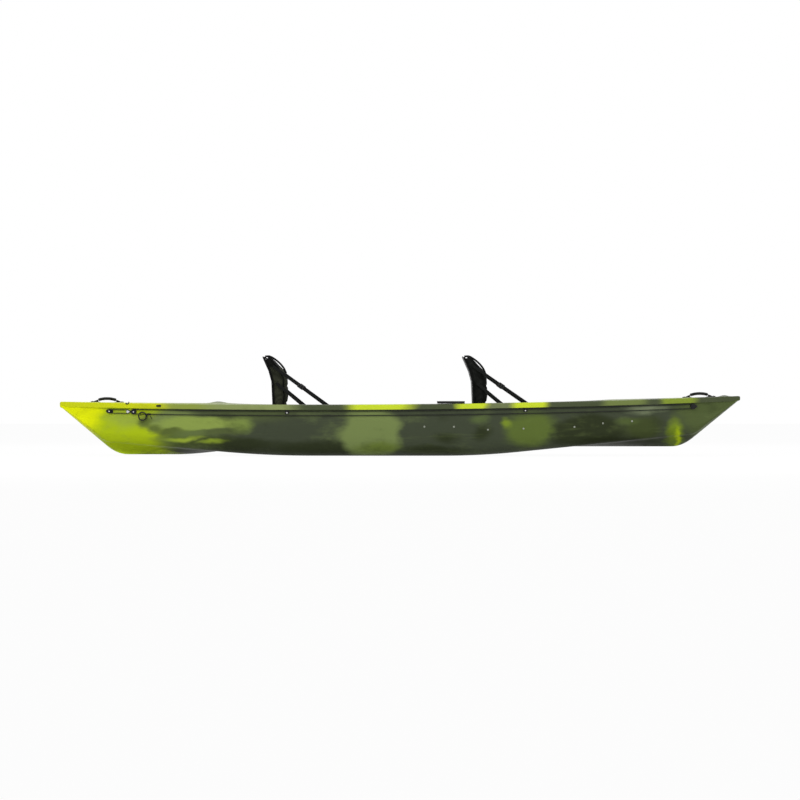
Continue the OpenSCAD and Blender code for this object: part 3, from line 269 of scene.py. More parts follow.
class Shader:
    """A material whose nodes are added one line at a time."""

    def __init__(self, name, roughness, specular=0.5):
        self.material = bpy.data.materials.new(name)
        self.material.use_nodes = True
        self.tree = self.material.node_tree
        self.bsdf = self.tree.nodes["Principled BSDF"]
        self.bsdf.inputs["Roughness"].default_value = roughness
        self.bsdf.inputs["Specular IOR Level"].default_value = specular
        self.coords = self.tree.nodes.new("ShaderNodeTexCoord")

    def feed(self, socket, value):
        """Links another node's output to a socket, or sets a plain value there."""
        if isinstance(value, bpy.types.NodeSocket):
            self.tree.links.new(value, socket)
        else:
            socket.default_value = value

    def node(self, kind, inputs, **settings):
        n = self.tree.nodes.new("ShaderNode" + kind)
        for key, value in settings.items():
            setattr(n, key, value)
        for key, value in inputs.items():
            self.feed(n.inputs[key], value)
        return n

    def to_bsdf(self, name, socket):
        self.tree.links.new(socket, self.bsdf.inputs[name])

    def place(self, scale=(1, 1, 1), location=(0, 0, 0), vector=None):
        if vector is None:
            vector = self.coords.outputs["Object"]
        return self.node("Mapping", {"Vector": vector, "Scale": scale, "Location": location}).outputs[0]

    def axis(self, index):
        """One of the object's own coordinates."""
        return self.node("SeparateXYZ", {0: self.coords.outputs["Object"]}).outputs[index]

    def noise(self, scale, detail, stretch=(1, 1, 1), rough=0.5):
        inputs = {"Vector": self.place(stretch), "Scale": scale, "Detail": detail, "Roughness": rough}
        return self.node("TexNoise", inputs).outputs[0]

    def wave(self, vector, scale, distortion, direction):
        inputs = {"Vector": vector, "Scale": scale, "Distortion": distortion}
        return self.node("TexWave", inputs, bands_direction=direction).outputs["Fac"]

    def remap(self, value, low, high, to_low=0.0, to_high=1.0):
        inputs = {"Value": value, "From Min": low, "From Max": high, "To Min": to_low, "To Max": to_high}
        return self.node("MapRange", inputs, interpolation_type="SMOOTHSTEP").outputs[0]

    def multiply(self, a, b):
        return self.node("Math", {0: a, 1: b}, operation="MULTIPLY").outputs[0]

    def vector_math(self, operation, a, b):
        return self.node("VectorMath", {0: a, 1: b}, operation=operation).outputs[0]

    def mix(self, factor, a, b):
        n = self.node("Mix", {"Factor": factor}, data_type="RGBA")
        for key, value in (("A", a), ("B", b)):
            self.feed([s for s in n.inputs if s.name == key and s.type == "RGBA"][0], value)
        return [s for s in n.outputs if s.type == "RGBA"][0]

    def bump(self, height, strength, distance, normal=None):
        inputs = {"Height": height, "Strength": strength, "Distance": distance}
        if normal is not None:
            inputs["Normal"] = normal
        return self.node("Bump", inputs).outputs[0]


# Palette of the moulded skin
YELLOW = rgb("CFD606")
LIME = rgb("9CAF14")
MOSS_LIME = rgb("8FA136")
MOSS = rgb("6A7846")
GREEN = rgb("53622C")
OLIVE = rgb("485133")
DARK_OLIVE = rgb("3A4323")
CHARCOAL = rgb("3B4132")
NIGHT = rgb("2A301D")
RIM_BASE = rgb("434A34")
RIM_YELLOW = rgb("B3C32C")

# Soft patches of the swirled skin on the side, one of them lightened with painted light: colour, middle (x,
# z), half size (x, z), softness
SIDE_PATCHES = [
    (OLIVE, (-0.80, 0.30), (0.75, 0.12), 0.6),
    (CHARCOAL, (-0.55, 0.23), (0.42, 0.10), 0.7),
    (LIME, (-1.90, 0.16), (0.50, 0.50), 0.5),
    (YELLOW, (-2.26, 0.34), (0.32, 0.34), 0.35),
    (MOSS_LIME, (-1.86, 0.25), (0.16, 0.10), 0.8),
    (MOSS, (-1.52, 0.24), (0.36, 0.10), 0.6),
    (GREEN, (-1.46, 0.120), (0.26, 0.090), 0.7),
    (DARK_OLIVE, (-1.28, 0.080), (0.34, 0.060), 0.7),
    (rgb("7E8F45"), (-1.36, 0.215), (0.40, 0.075), 0.5),
    (rgb("58652F"), (-1.735, 0.228), (0.075, 0.060), 0.7),
    (rgb("58652F"), (-1.660, 0.182), (0.095, 0.038), 0.7),
    (rgb("515D2C"), (-1.550, 0.160), (0.130, 0.034), 0.7),
    (rgb("59663A"), (-1.380, 0.146), (0.200, 0.032), 0.8),
    (rgb("4B5531"), (-1.180, 0.146), (0.200, 0.040), 0.8),
    (MOSS_LIME, (-1.45, 0.110), (0.20, 0.024), 0.9),
    (rgb("7F922C"), (-1.24, 0.082), (0.16, 0.020), 0.9),
    # The skin's own lime along the stern's underside, painted brighter: painted light standing in for light
    # bounced up from the floor
    (rgb("D2EA1C"), (-1.75, -0.010), (0.44, 0.064), 0.4),
    (NIGHT, (-1.04, 0.060), (0.26, 0.070), 0.6),
    (rgb("70813F"), (-1.05, 0.205), (0.13, 0.085), 0.8),
    (CHARCOAL, (-0.80, 0.160), (0.22, 0.13), 0.7),
    (NIGHT, (-0.56, 0.045), (0.50, 0.085), 0.7),
    (MOSS, (-0.19, 0.150), (0.25, 0.23), 0.4),
    (rgb("5C6B2E"), (-0.14, 0.050), (0.22, 0.050), 0.8),
    (CHARCOAL, (0.29, 0.150), (0.30, 0.26), 0.16),
    (NIGHT, (0.33, 0.120), (0.15, 0.060), 0.9),
    (NIGHT, (0.24, 0.035), (0.34, 0.050), 0.8),
    (rgb("4A5733"), (0.52, 0.250), (0.12, 0.050), 0.9),
    (NIGHT, (0.56, 0.160), (0.10, 0.080), 0.8),
    (GREEN, (0.88, 0.180), (0.22, 0.16), 0.5),
    (rgb("6E8128"), (0.73, 0.225), (0.06, 0.055), 0.9),
    (NIGHT, (1.25, 0.165), (0.28, 0.15), 0.35),
    (DARK_OLIVE, (1.60, 0.190), (0.20, 0.12), 0.6),
    (rgb("46522B"), (1.49, 0.240), (0.12, 0.05), 0.9),
    (rgb("1F250F"), (1.50, 0.085), (0.36, 0.065), 0.6),
    (rgb("6C755A"), (1.66, 0.322), (0.20, 0.050), 0.8),
    (rgb("48532F"), (2.12, 0.290), (0.36, 0.26), 0.5),
    (rgb("6B7E1E"), (1.83, 0.150), (0.080, 0.150), 0.8),
    (LIME, (1.845, 0.115), (0.030, 0.120), 0.9),
]
# Patches of the side between stern and bow that also colour the inside, at any height
INSIDE_PATCHES = SIDE_PATCHES[9:30:2]
# Stretches of the rim and deck: colour, middle x, half length
RIM_PATCHES = [
    (rgb("B9C016"), -2.00, 0.72),
    (rgb("7F8B3E"), -1.36, 0.26),
    (rgb("7C8654"), -1.00, 0.40),
    (rgb("646C49"), 0.665, 0.20),
    (RIM_YELLOW, -0.135, 0.285),
    (RIM_YELLOW, 0.480, 0.125),
    (RIM_YELLOW, 0.850, 0.165),
    (rgb("66723F"), 1.49, 0.19),
    (rgb("7A8B30"), 1.855, 0.16),
]
RIM_SOFTNESS = 0.5
# Dark crests of the deck over the rim, at the stern and the nose
DECK_PATCHES = [
    (rgb("3A4024"), (-1.215, 0.378), (0.22, 0.030), 0.5),
    (rgb("3C4526"), (2.160, 0.412), (0.14, 0.030), 0.5),
]
# Middle heights of the rim and the inside, and a half height that takes in all of the hull
RIM_LEVEL, INSIDE_LEVEL, ANY_HEIGHT = 0.36, 0.20, 9.0
PATCH_START = 0.02
SKIN_ROUGH, INSIDE_ROUGH, SKIN_SPECULAR = 0.45, 0.5, 0.05
FLOW_ALONG = 2.2


def skin_finish(s):
    """Grain, waviness and fine wear of rotomoulded plastic."""
    scuff = s.noise(60.0, 5, stretch=(0.12, 1, 1), rough=0.7)
    s.to_bsdf("Roughness", s.remap(scuff, 0.35, 0.75, 0.40, 0.55))
    waviness = s.bump(s.noise(5.0, 2), 0.2, 0.004)
    s.to_bsdf("Normal", s.bump(s.noise(900.0, 2), 0.12, 0.0004, waviness))


def swirled(s, base, patches, flow):
    """Soft patches of colour laid over a base, their edges drawn along the hull as the plastic flowed."""
    colour = base
    for patch, middle, size, soft in patches:
        scale = (1 / size[0], 0.0, 1 / size[1])
        location = (-middle[0] / size[0], 0.0, -middle[1] / size[1])
        ball = s.node("TexGradient", {"Vector": s.place(scale, location, flow)}, gradient_type="SPHERICAL")
        colour = s.mix(s.remap(ball.outputs["Fac"], PATCH_START, PATCH_START + soft), colour, patch)
    return colour


def flowing_coords(s, amount, scale):
    """Object coordinates pushed about by noise that is stretched along the hull."""
    inputs = {"Vector": s.place((0.75, 0.8, 1.7)), "Scale": scale, "Detail": 4.0, "Roughness": 0.62}
    warp = s.node("TexNoise", inputs).outputs["Color"]
    centred = s.vector_math("SUBTRACT", warp, (0.5, 0.5, 0.5))
    push = s.vector_math("MULTIPLY", centred, (FLOW_ALONG * amount, 0.0, amount))
    return s.vector_math("ADD", s.coords.outputs["Object"], push)


def side_material():
    s = Shader("hull_side", SKIN_ROUGH, SKIN_SPECULAR)
    colour = swirled(s, CHARCOAL, SIDE_PATCHES, flowing_coords(s, 0.11, 3.2))
    cloud = s.noise(4.5, 7, stretch=(0.7, 1, 1.4), rough=0.62)
    streak = s.noise(9.0, 6, stretch=(0.22, 1, 2.6), rough=0.65)
    colour = s.mix(s.remap(cloud, 0.54, 0.78, 0.0, 0.38), colour, MOSS)
    colour = s.mix(s.remap(streak, 0.54, 0.80, 0.0, 0.22), colour, MOSS)
    colour = s.mix(s.remap(cloud, 0.46, 0.24, 0.0, 0.45), colour, NIGHT)
    s.to_bsdf("Base Color", colour)
    skin_finish(s)
    return s.material


def rim_material():
    s = Shader("hull_rim", SKIN_ROUGH, SKIN_SPECULAR)
    patches = [(c, (x, RIM_LEVEL), (half, ANY_HEIGHT), RIM_SOFTNESS) for c, x, half in RIM_PATCHES]
    colour = swirled(s, RIM_BASE, patches, flowing_coords(s, 0.07, 4.0))
    colour = swirled(s, colour, DECK_PATCHES, s.coords.outputs["Object"])
    streak = s.noise(9.0, 5, stretch=(0.3, 1, 1), rough=0.6)
    s.to_bsdf("Base Color", s.mix(s.remap(streak, 0.55, 0.80, 0.0, 0.35), colour, DARK_OLIVE))
    skin_finish(s)
    return s.material


def inside_material():
    s = Shader("hull_inside", INSIDE_ROUGH, SKIN_SPECULAR)
    patches = [(c, (middle[0], INSIDE_LEVEL), (size[0], ANY_HEIGHT), soft)
               for c, middle, size, soft in INSIDE_PATCHES]
    s.to_bsdf("Base Color", swirled(s, OLIVE, patches, flowing_coords(s, 0.14, 2.6)))
    skin_finish(s)
    return s.material


def plastic(name, colour, roughness=0.45, grain=700.0):
    """Moulded plastic: slight mottling, fine grain and worn gloss."""
    s = Shader(name, roughness, 0.2)
    s.to_bsdf("Base Color", s.mix(s.remap(s.noise(30.0, 4), 0.3, 0.7), toned(colour, 0.7), colour))
    s.to_bsdf("Roughness", s.remap(s.noise(45.0, 4), 0.3, 0.7, roughness - 0.08, roughness + 0.1))
    s.to_bsdf("Normal", s.bump(s.noise(grain, 2), 0.15, 0.0003))
    return s.material


def steel(name):
    s = Shader(name, 0.28)
    s.bsdf.inputs["Metallic"].default_value = 1.0
    s.to_bsdf("Base Color", s.mix(s.remap(s.noise(80.0, 3), 0.35, 0.65), rgb("9A9B9B"), rgb("D4D4D2")))
    s.to_bsdf("Roughness", s.remap(s.noise(300.0, 2, stretch=(1, 8, 8)), 0.3, 0.7, 0.18, 0.36))
    return s.material


# Aft end of the bow block, where the screws turn black
BLACK_SCREWS_FROM, BLACK_SCREWS_TO = 1.70, 1.72


def screw_heads(name):
    """Pale screw heads, and blackened ones on the bow block."""
    s = Shader(name, 0.4, 0.3)
    pale = s.mix(s.remap(s.noise(200.0, 2), 0.3, 0.7), rgb("C9CAC6"), rgb("E6E6E2"))
    forward = s.remap(s.axis(0), BLACK_SCREWS_FROM, BLACK_SCREWS_TO)
    s.to_bsdf("Base Color", s.mix(forward, pale, rgb("1C1D1C")))
    return s.material


def cordage(name, colour):
    """Braided line: two sets of strands that cross."""
    s = Shader(name, 0.75, 0.25)
    strands = [s.wave(s.place((way, 0.8, 0.8)), 95.0, 0.3, "DIAGONAL") for way in (1, -1)]
    weave = s.multiply(*strands)
    s.to_bsdf("Base Color", s.mix(s.remap(weave, 0.1, 0.9), colour, toned(colour, 2.2, 0.01)))
    s.to_bsdf("Normal", s.bump(weave, 0.6, 0.0008))
    return s.material


def webbing(name, colour):
    """Woven strap: ribs across the strap on the UV map, with a fine weave along it."""
    s = Shader(name, 0.78, 0.08)
    uv = s.coords.outputs["UV"]
    weave = s.multiply(s.wave(uv, 110.0, 0.2, "X"), s.wave(uv, 90.0, 0.2, "Y"))
    s.to_bsdf("Base Color", s.mix(s.remap(weave, 0.1, 0.9), colour, toned(colour, 2.0, 0.004)))
    s.to_bsdf("Normal", s.bump(weave, 0.5, 0.0006))
    return s.material


# Black top of the rear cover: its height, the band over which it starts, and its colour
COVER_TOP, COVER_TOP_BAND, COVER_TOP_COLOUR = 0.585, 0.012, rgb("161715")


def fabric(name, colour, light, top=None, scale=130.0):
    """Padded seat fabric: a fine weave in object space, mottled, and black above the height top."""
    s = Shader(name, 0.9, 0.05)
    weave = s.multiply(*[s.wave(s.place(), scale, 0.6, direction) for direction in "YZ"])
    tone = s.mix(s.remap(s.noise(22.0, 4), 0.3, 0.7), colour, light)
    if top is not None:
        tone = s.mix(s.remap(s.axis(2), top, top + COVER_TOP_BAND), tone, COVER_TOP_COLOUR)
    dark = s.mix(0.45, tone, (0, 0, 0, 1))
    s.to_bsdf("Base Color", s.mix(s.remap(weave, 0.0, 0.6), dark, tone))
    s.to_bsdf("Normal", s.bump(weave, 0.4, 0.0008, s.bump(s.noise(60.0, 3), 0.2, 0.002)))
    return s.material


MATERIALS = {
    "side": side_material(),
    "rim": rim_material(),
    "inside": inside_material(),
    "black": plastic("black_plastic", rgb("171817")),
    "pedal": plastic("pedal_plastic", rgb("2A2B2A"), 0.5),
    "rubber": plastic("handle_rubber", rgb("131412"), 0.62, 400.0),
    "grip": plastic("handle_grip", rgb("191A17"), 0.7, 400.0),
    "steel": steel("stainless"),
    "rivet": plastic("rivet_heads", rgb("8A8E82"), 0.5),
    "trolley_screw": screw_heads("trolley_screw_heads"),
    "line": cordage("trolley_line", rgb("10120D")),
    "webbing": webbing("seat_webbing", rgb("0E0F0E")),
    "rear_fabric": fabric("rear_seat_fabric", rgb("2E3026"), rgb("3A3C30"), COVER_TOP),
    "front_fabric": fabric("front_seat_fabric", rgb("171816"), rgb("20211F")),
    "binding": fabric("seat_binding", rgb("121312"), rgb("191A19"), scale=200.0),
    "foam": plastic("foam", rgb("E4E3DC"), 0.8, 250.0),
}

# Camera, lights and floor
SENSOR = 36.0
PICTURE_PIXELS, FOCAL_PIXELS = 800, 4464
CAMERA_PLACE = (0.0, -30.0, 0.3715)
CAMERA_REACH = 100.0
# Lights: place, what they point at, size and power
LIGHTS = {
    "key": ((-2.5, -6.5, 6.0), (0, 0, 0.2), (6.0, 3.0), 420),
    "fill": ((4.5, -5.0, 3.0), (0.5, 0, 0.2), (4.0, 3.0), 120),
    "back": ((0.0, 6.0, 5.0), (0, 0, 0.2), (7.0, 3.0), 240),
}
WHITE = (1, 1, 1, 1)
SKY_LIGHT, SKY_SEEN = 0.55, 1.0
FLOOR_COLOUR, FLOOR_ROUGH, FLOOR_GLOW, FLOOR_HALF = (0.86, 0.86, 0.85, 1), 0.9, 0.95, 40.0


def make_camera():
    data = bpy.data.cameras.new("camera")
    data.sensor_width = SENSOR
    data.lens = SENSOR * FOCAL_PIXELS / PICTURE_PIXELS
    data.clip_end = CAMERA_REACH
    cam = bpy.data.objects.new("camera", data)
    cam.location = CAMERA_PLACE
    cam.rotation_euler = (math.radians(90), 0, 0)
    SCENE.collection.objects.link(cam)
    SCENE.camera = cam


def area_light(name, location, target, size, energy):
    data = bpy.data.lights.new(name, "AREA")
    data.shape = "RECTANGLE"
    data.size, data.size_y = size
    data.energy = energy
    lamp = bpy.data.objects.new(name, data)
    lamp.location = location
    lamp.rotation_euler = (Vector(target) - Vector(location)).to_track_quat("-Z", "Y").to_euler()
    SCENE.collection.objects.link(lamp)


def white_rays(tree):
    """1 for the rays that should meet plain white: from the camera, in mirrors and through glass."""
    path = tree.nodes.new("ShaderNodeLightPath")
    total = path.outputs["Is Camera Ray"]
    for name in ("Is Glossy Ray", "Is Transmission Ray"):
        both = tree.nodes.new("ShaderNodeMath")
        both.operation = "MAXIMUM"
        tree.links.new(total, both.inputs[0])
        tree.links.new(path.outputs[name], both.inputs[1])
        total = both.outputs[0]
    return total


def make_world():
    world = bpy.data.worlds.new("studio")
    world.use_nodes = True
    tree = world.node_tree
    back = tree.nodes["Background"]
    back.inputs["Color"].default_value = WHITE
    level = tree.nodes.new("ShaderNodeMapRange")
    tree.links.new(white_rays(tree), level.inputs["Value"])
    level.inputs["To Min"].default_value = SKY_LIGHT
    level.inputs["To Max"].default_value = SKY_SEEN
    tree.links.new(level.outputs[0], back.inputs["Strength"])
    SCENE.world = world
    SCENE.view_settings.view_transform = "Standard"


def make_floor():
    """Pale floor that keeps the shadow and shows as nearly white."""
    s = Shader("studio_floor", FLOOR_ROUGH)
    s.bsdf.inputs["Base Color"].default_value = FLOOR_COLOUR
    glow = s.node("Emission", {"Color": WHITE})
    share = s.multiply(white_rays(s.tree), FLOOR_GLOW)
    both = s.node("MixShader", {0: share, 1: s.bsdf.outputs[0], 2: glow.outputs[0]})
    s.tree.links.new(both.outputs[0], s.tree.nodes["Material Output"].inputs["Surface"])
    corners = [(FLOOR_HALF * x, FLOOR_HALF * y, 0) for x, y in ((-1, -1), (1, -1), (1, 1), (-1, 1))]
    obj_from("floor", corners, [(0, 1, 2, 3)], s.material)


make_camera()
make_world()
make_floor()
for light, settings in LIGHTS.items():
    area_light(light, *settings)

# Hull
ROUND_POINTS, ROUND_SHARE = 6, 0.48
OUTER_TRIMS = [0.05, 0.045, 0.03, 0.028, 0.04, 0.006, 0.003, 0.004]
INNER_TRIMS = [0.006, 0.006, 0.03, 0.04, 0.028, 0.03, 0.045, 0.05]
DECK_STEPS, DECK_START = 14, 0.99
LIP_ROUND = 0.004
LIP_CURVE = ((0.6, 0.08), (0.3, 0.3), (0.08, 0.6), (0, 1))
STERN_STEPS, AFT_STEPS, COCKPIT_STEPS, FORE_STEPS, BOW_STEPS = 24, 30, 110, 20, 28
TIP_ROUND, TIP_STEPS, TIP_ANGLE, TIP_DRAW = 0.014, 5, 17, 0.55
NEAR = 1e-6
HULL_MERGE = 2e-6
# Material slots, and the point of an outer section where the rim starts, half-way round its eighth corner
SIDE, RIM, INSIDE = 0, 1, 2
RIM_FROM = 1 + 7 * ROUND_POINTS + ROUND_POINTS // 2


def rounded(points, trims):
    """Points of a line whose inner corners are rounded off, trim from each corner."""
    pts = [np.array(p, float) for p in points]
    out = [pts[0]]
    for a, b, c, trim in zip(pts, pts[1:], pts[2:], trims):
        la, lc = np.linalg.norm(a - b), np.linalg.norm(c - b)
        trim = min(trim, ROUND_SHARE * la, ROUND_SHARE * lc)
        p = b + (a - b) * (trim / max(la, TINY))
        q = b + (c - b) * (trim / max(lc, TINY))
        for t in np.linspace(0, 1, ROUND_POINTS):
            out.append((1 - t) ** 2 * p + 2 * t * (1 - t) * b + t * t * q)
    out.append(pts[-1])
    return np.array(out)


def outer_section(x):
    """Port half from the keel to the middle of the deck or to the cockpit's edge."""
    b, s = half_beam(x), beam_share(x)
    low = b * DECK_START - RIM_ROUND * s
    edge = cockpit_y(x)
    line = [(0, keel(x)),
            (TUNNEL_HALF * s, lifted(x, shoulder(x), "tunnel")),
            (PONTOON_INNER * s, lifted(x, pontoon(x), "inner")),
            (PONTOON_OUTER * s, lifted(x, pontoon(x), "outer")),
            (BILGE_HALF * s, lifted(x, bilge(x), "bilge")),
            (CHINE_HALF * s, lifted(x, chine(x), "chine")),
            (strip_foot(x), lifted(x, strip_low(x), "foot")),
            (strip_half(x), lifted(x, strip_top(x), "strip")),
            (b, lifted(x, strip_top(x), "rim")),
            (b, sheer(x)),
            (low, deck_z(x, low))]
    lower = rounded(line, OUTER_TRIMS + [RIM_ROUND * s])
    round_in = LIP_ROUND if edge > 0 else 0.0
    deck = [(y, deck_z(x, y)) for y in np.linspace(low, edge + round_in, DECK_STEPS)[1:]]
    lip = [(edge + round_in * f, deck_z(x, edge) - round_in * g) for f, g in LIP_CURVE]
    return np.vstack([lower, deck, lip])


def inner_section(x):
    """Port half inside the skin, from the deck's edge round the wall to the middle of the floor."""
    s, edge = beam_share(x), cockpit_y(x)
    sign = min(max((tunnel(x) - pontoon(x)) / SHAPE_BLEND, -1), 1)
    wall = strip_half(x) - WALL
    line = [(edge, deck_z(x, edge) - WALL),
            (wall - RIM_ROUND, deck_z(x, wall - RIM_ROUND) - WALL),
            (wall, sheer(x) - RIM_ROUND - WALL),
            (strip_foot(x) - WALL, lifted(x, strip_low(x), "foot")),
            (CHINE_HALF * s - WALL, lifted(x, chine(x), "chine") + WALL * 0.4),
            (BILGE_HALF * s - WALL, lifted(x, bilge(x), "bilge") + WALL * 0.8),
            (PONTOON_OUTER * s - WALL / 2, lifted(x, pontoon(x), "outer") + WALL),
            (PONTOON_INNER * s + WALL * sign, lifted(x, pontoon(x), "inner") + WALL),
            (TUNNEL_HALF * s + WALL * sign, lifted(x, shoulder(x), "tunnel") + WALL),
            (0, keel(x) + WALL)]
    return rounded(line, INNER_TRIMS)


def spread(a, b, n):
    return [a + (b - a) * i / n for i in range(n)]


def hull_stations():
    """Places of the sections along the hull, closer together at the ends of the cockpit."""
    tip = HALF_LENGTH - TIP_ROUND
    cockpit = [COCKPIT_MIDDLE - COCKPIT_HALF * math.cos(math.pi * t) for t in spread(0, 1, COCKPIT_STEPS)]
    return (spread(-tip, HOLLOW[0], STERN_STEPS) + spread(HOLLOW[0], COCKPIT[0], AFT_STEPS) + cockpit
            + spread(COCKPIT[1], HOLLOW[1], FORE_STEPS) + spread(HOLLOW[1], tip, BOW_STEPS) + [tip])


class HalfHull:
    """Points and faces of the port half of the skin, with the material slot of each face."""

    def __init__(self):
        self.verts, self.faces, self.slots = [], [], []

    def ring(self, x, section):
        start = len(self.verts)
        self.verts.extend((x, y, z) for y, z in section)
        return start

    def face(self, points, slot):
        self.faces.append(tuple(points))
        self.slots.append(slot)

    def join_outer(self, a, b, count):
        for j in range(count - 1):
            self.face((a + j, b + j, b + j + 1, a + j + 1), RIM if j >= RIM_FROM else SIDE)

    def join_inner(self, a, b, count):
        for j in range(count - 1):
            self.face((b + j, a + j, a + j + 1, b + j + 1), INSIDE)

    def round_tip(self, start, count, end):
        """Closes the stern (end -1) or the bow (end 1) by rings drawn in about the middle of its section."""
        section = np.array(self.verts[start:start + count])
        x, z = section[0, 0], section[:, 2]
        middle = (z.min() + z.max()) / 2
        last = start
        for step in range(1, TIP_STEPS + 1):
            angle = math.radians(TIP_ANGLE * step)
            scale = 1 - TIP_DRAW * (1 - math.cos(angle))
            drawn = [(p[1] * scale, middle + (p[2] - middle) * scale) for p in section]
            ring = self.ring(x + end * TIP_ROUND * math.sin(angle), drawn)
            self.join_outer(*((ring, last) if end < 0 else (last, ring)), count)
            last = ring
        self.face(range(last, last + count), RIM)


def make_hull():
    """Fine skin of the hull: outer and inner faces joined by the cockpit's lip."""
    half = HalfHull()
    xs = hull_stations()
    n_out, n_in = len(outer_section(0)), len(inner_section(0))
    outer, inner = [], []
    for x in xs:
        outer.append(half.ring(x, outer_section(x)))
        hollow = HOLLOW[0] - NEAR <= x <= HOLLOW[1] + NEAR
        inner.append(half.ring(x, inner_section(x)) if hollow else None)
    for i in range(len(xs) - 1):
        half.join_outer(outer[i], outer[i + 1], n_out)
        a, b = inner[i], inner[i + 1]
        if a is None or b is None:
            continue
        half.join_inner(a, b, n_in)
        if COCKPIT[0] - NEAR <= xs[i] and xs[i + 1] <= COCKPIT[1] + NEAR:
            half.face((outer[i] + n_out - 1, outer[i + 1] + n_out - 1, b, a), INSIDE)
    half.round_tip(outer[0], n_out, -1)
    half.round_tip(outer[-1], n_out, 1)
    count = len(half.verts)
    verts = half.verts + [(x, -y, z) for x, y, z in half.verts]
    faces = half.faces + [tuple(count + k for k in reversed(f)) for f in half.faces]
    slots = half.slots * 2
    # End walls of the hollow, across both halves
    walls = [a for a in inner if a is not None]
    for a in (walls[0], walls[-1]):
        faces.append(tuple(range(a, a + n_in)) + tuple(count + k for k in range(a + n_in - 2, a, -1)))
        slots.append(INSIDE)
    hull = obj_from("hull_skin", verts, faces, MATERIALS["side"], "hull")
    hull.data.materials.append(MATERIALS["rim"])
    hull.data.materials.append(MATERIALS["inside"])
    for p, slot in zip(hull.data.polygons, slots):
        p.material_index = slot
    clean(hull, HULL_MERGE)
    sharp_edges(hull, SKIN_CREASE)
    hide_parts("hull")


make_hull()

# Soft pieces of the seats
COVER_SHRINK, COVER_CAP, COVER_VOXEL, COVER_SMOOTHINGS = 0.004, 0.007, 0.006, 6
CLOTH_PRESSURE, CLOTH_QUALITY, CLOTH_FRAMES = 4.0, 4, 20
CHANNEL_HALF, CHANNEL_DEPTH = 0.006, 0.007
BORDER_STEPS = 30


def vertex_values(obj, key):
    out = np.empty(len(obj.data.vertices) * 3)
    obj.data.vertices.foreach_get(key, out)
    return out.reshape(-1, 3)


def set_coords(obj, points):
    obj.data.vertices.foreach_set("co", np.asarray(points, float).ravel())
    obj.data.update()


def swell(obj):
    """Padded cover: remeshed, drawn in a little, blown up as cloth, no point moved further than the cap."""
    mod = obj.modifiers.new("remesh", "REMESH")
    mod.mode = "VOXEL"
    mod.voxel_size = COVER_VOXEL
    apply_modifiers(obj)
    mod = obj.modifiers.new("smooth", "SMOOTH")
    mod.iterations = COVER_SMOOTHINGS
    apply_modifiers(obj)
    start = vertex_values(obj, "co") - COVER_SHRINK * vertex_values(obj, "normal")
    set_coords(obj, start)
    cloth = obj.modifiers.new("cloth", "CLOTH")
    cloth.settings.quality = CLOTH_QUALITY
    cloth.settings.use_pressure = True
    cloth.settings.uniform_pressure_force = CLOTH_PRESSURE
    cloth.settings.effector_weights.gravity = 0
    cloth.point_cache.frame_start = 1
    cloth.point_cache.frame_end = CLOTH_FRAMES
    for f in range(1, CLOTH_FRAMES + 1):
        SCENE.frame_set(f)
    apply_modifiers(obj)
    SCENE.frame_set(1)
    move = vertex_values(obj, "co") - start
    far = np.linalg.norm(move, axis=1, keepdims=True)
    set_coords(obj, start + move * np.minimum(1, COVER_CAP / np.maximum(far, TINY)))


def subdivide(obj):
    mod = obj.modifiers.new("subdivision", "SUBSURF")
    mod.levels = mod.render_levels = 1
    apply_modifiers(obj)
    for p in obj.data.polygons:
        p.use_smooth = True


def closed_grid(front, behind):
    """Points and faces of a closed form between two grids of the same size."""
    rows, cols = len(front), len(front[0])
    verts = [p for row in front for p in row] + [p for row in behind for p in row]

    def at(layer, j, i):
        return layer * rows * cols + j * cols + i

    faces = []
    for j in range(rows - 1):
        for i in range(cols - 1):
            faces.append((at(0, j, i), at(0, j, i + 1), at(0, j + 1, i + 1), at(0, j + 1, i)))
            faces.append((at(1, j, i), at(1, j + 1, i), at(1, j + 1, i + 1), at(1, j, i + 1)))
    edge = ([(0, i) for i in range(cols)] + [(j, cols - 1) for j in range(1, rows)]
            + [(rows - 1, i) for i in range(cols - 2, -1, -1)] + [(j, 0) for j in range(rows - 2, 0, -1)])
    for (a, b), (c, d) in zip(edge, edge[1:] + edge[:1]):
        faces.append((at(0, a, b), at(1, a, b), at(1, c, d), at(0, c, d)))
    return verts, faces


def tube(path, radius, sides=10, closed=False):
    """Points and faces of a round tube along a line of points; radius may be a function of the point."""
    path = [Vector(p) for p in path]
    n = len(path)
    verts, faces = [], []
    up = None
    for k, p in enumerate(path):
        a = path[k - 1] if (k or closed) else p
        b = path[(k + 1) % n] if (k < n - 1 or closed) else p
        d = (b - a).normalized()
        if up is None:
            up = d.orthogonal().normalized()
        up = (up - d * up.dot(d)).normalized()
        side = d.cross(up)
        r = radius(k) if callable(radius) else radius
        verts += [p + r * (math.cos(t) * up + math.sin(t) * side) for t in spread(0, 2 * math.pi, sides)]
    for k in range(n if closed else n - 1):
        a, b = k * sides, ((k + 1) % n) * sides
        faces += [(a + i, a + (i + 1) % sides, b + (i + 1) % sides, b + i) for i in range(sides)]
    if not closed:
        faces += [tuple(reversed(range(sides))), tuple(range((n - 1) * sides, n * sides))]
    return verts, faces


def merge(parts):
    verts, faces = [], []
    for v, f in parts:
        base = len(verts)
        verts += list(v)
        faces += [tuple(base + k for k in face) for face in f]
    return verts, faces


def crown(u, v):
    return (1 - u ** 4) * (1 - v ** 4)


def channel(offset):
    """Depth of a sewn channel, as a share, at a distance from its middle."""
    return np.exp(-(offset / CHANNEL_HALF) ** 2)


def border(low, steps):
    """Once round the edge of a field, u from -1 to 1 and v from low to 1, with that many steps in v."""
    us, vs = np.linspace(-1, 1, BORDER_STEPS), np.linspace(low, 1, steps)
    return ([(u, low) for u in us] + [(1.0, v) for v in vs[1:]]
            + [(u, 1.0) for u in us[-2::-1]] + [(-1.0, v) for v in vs[-2:0:-1]])


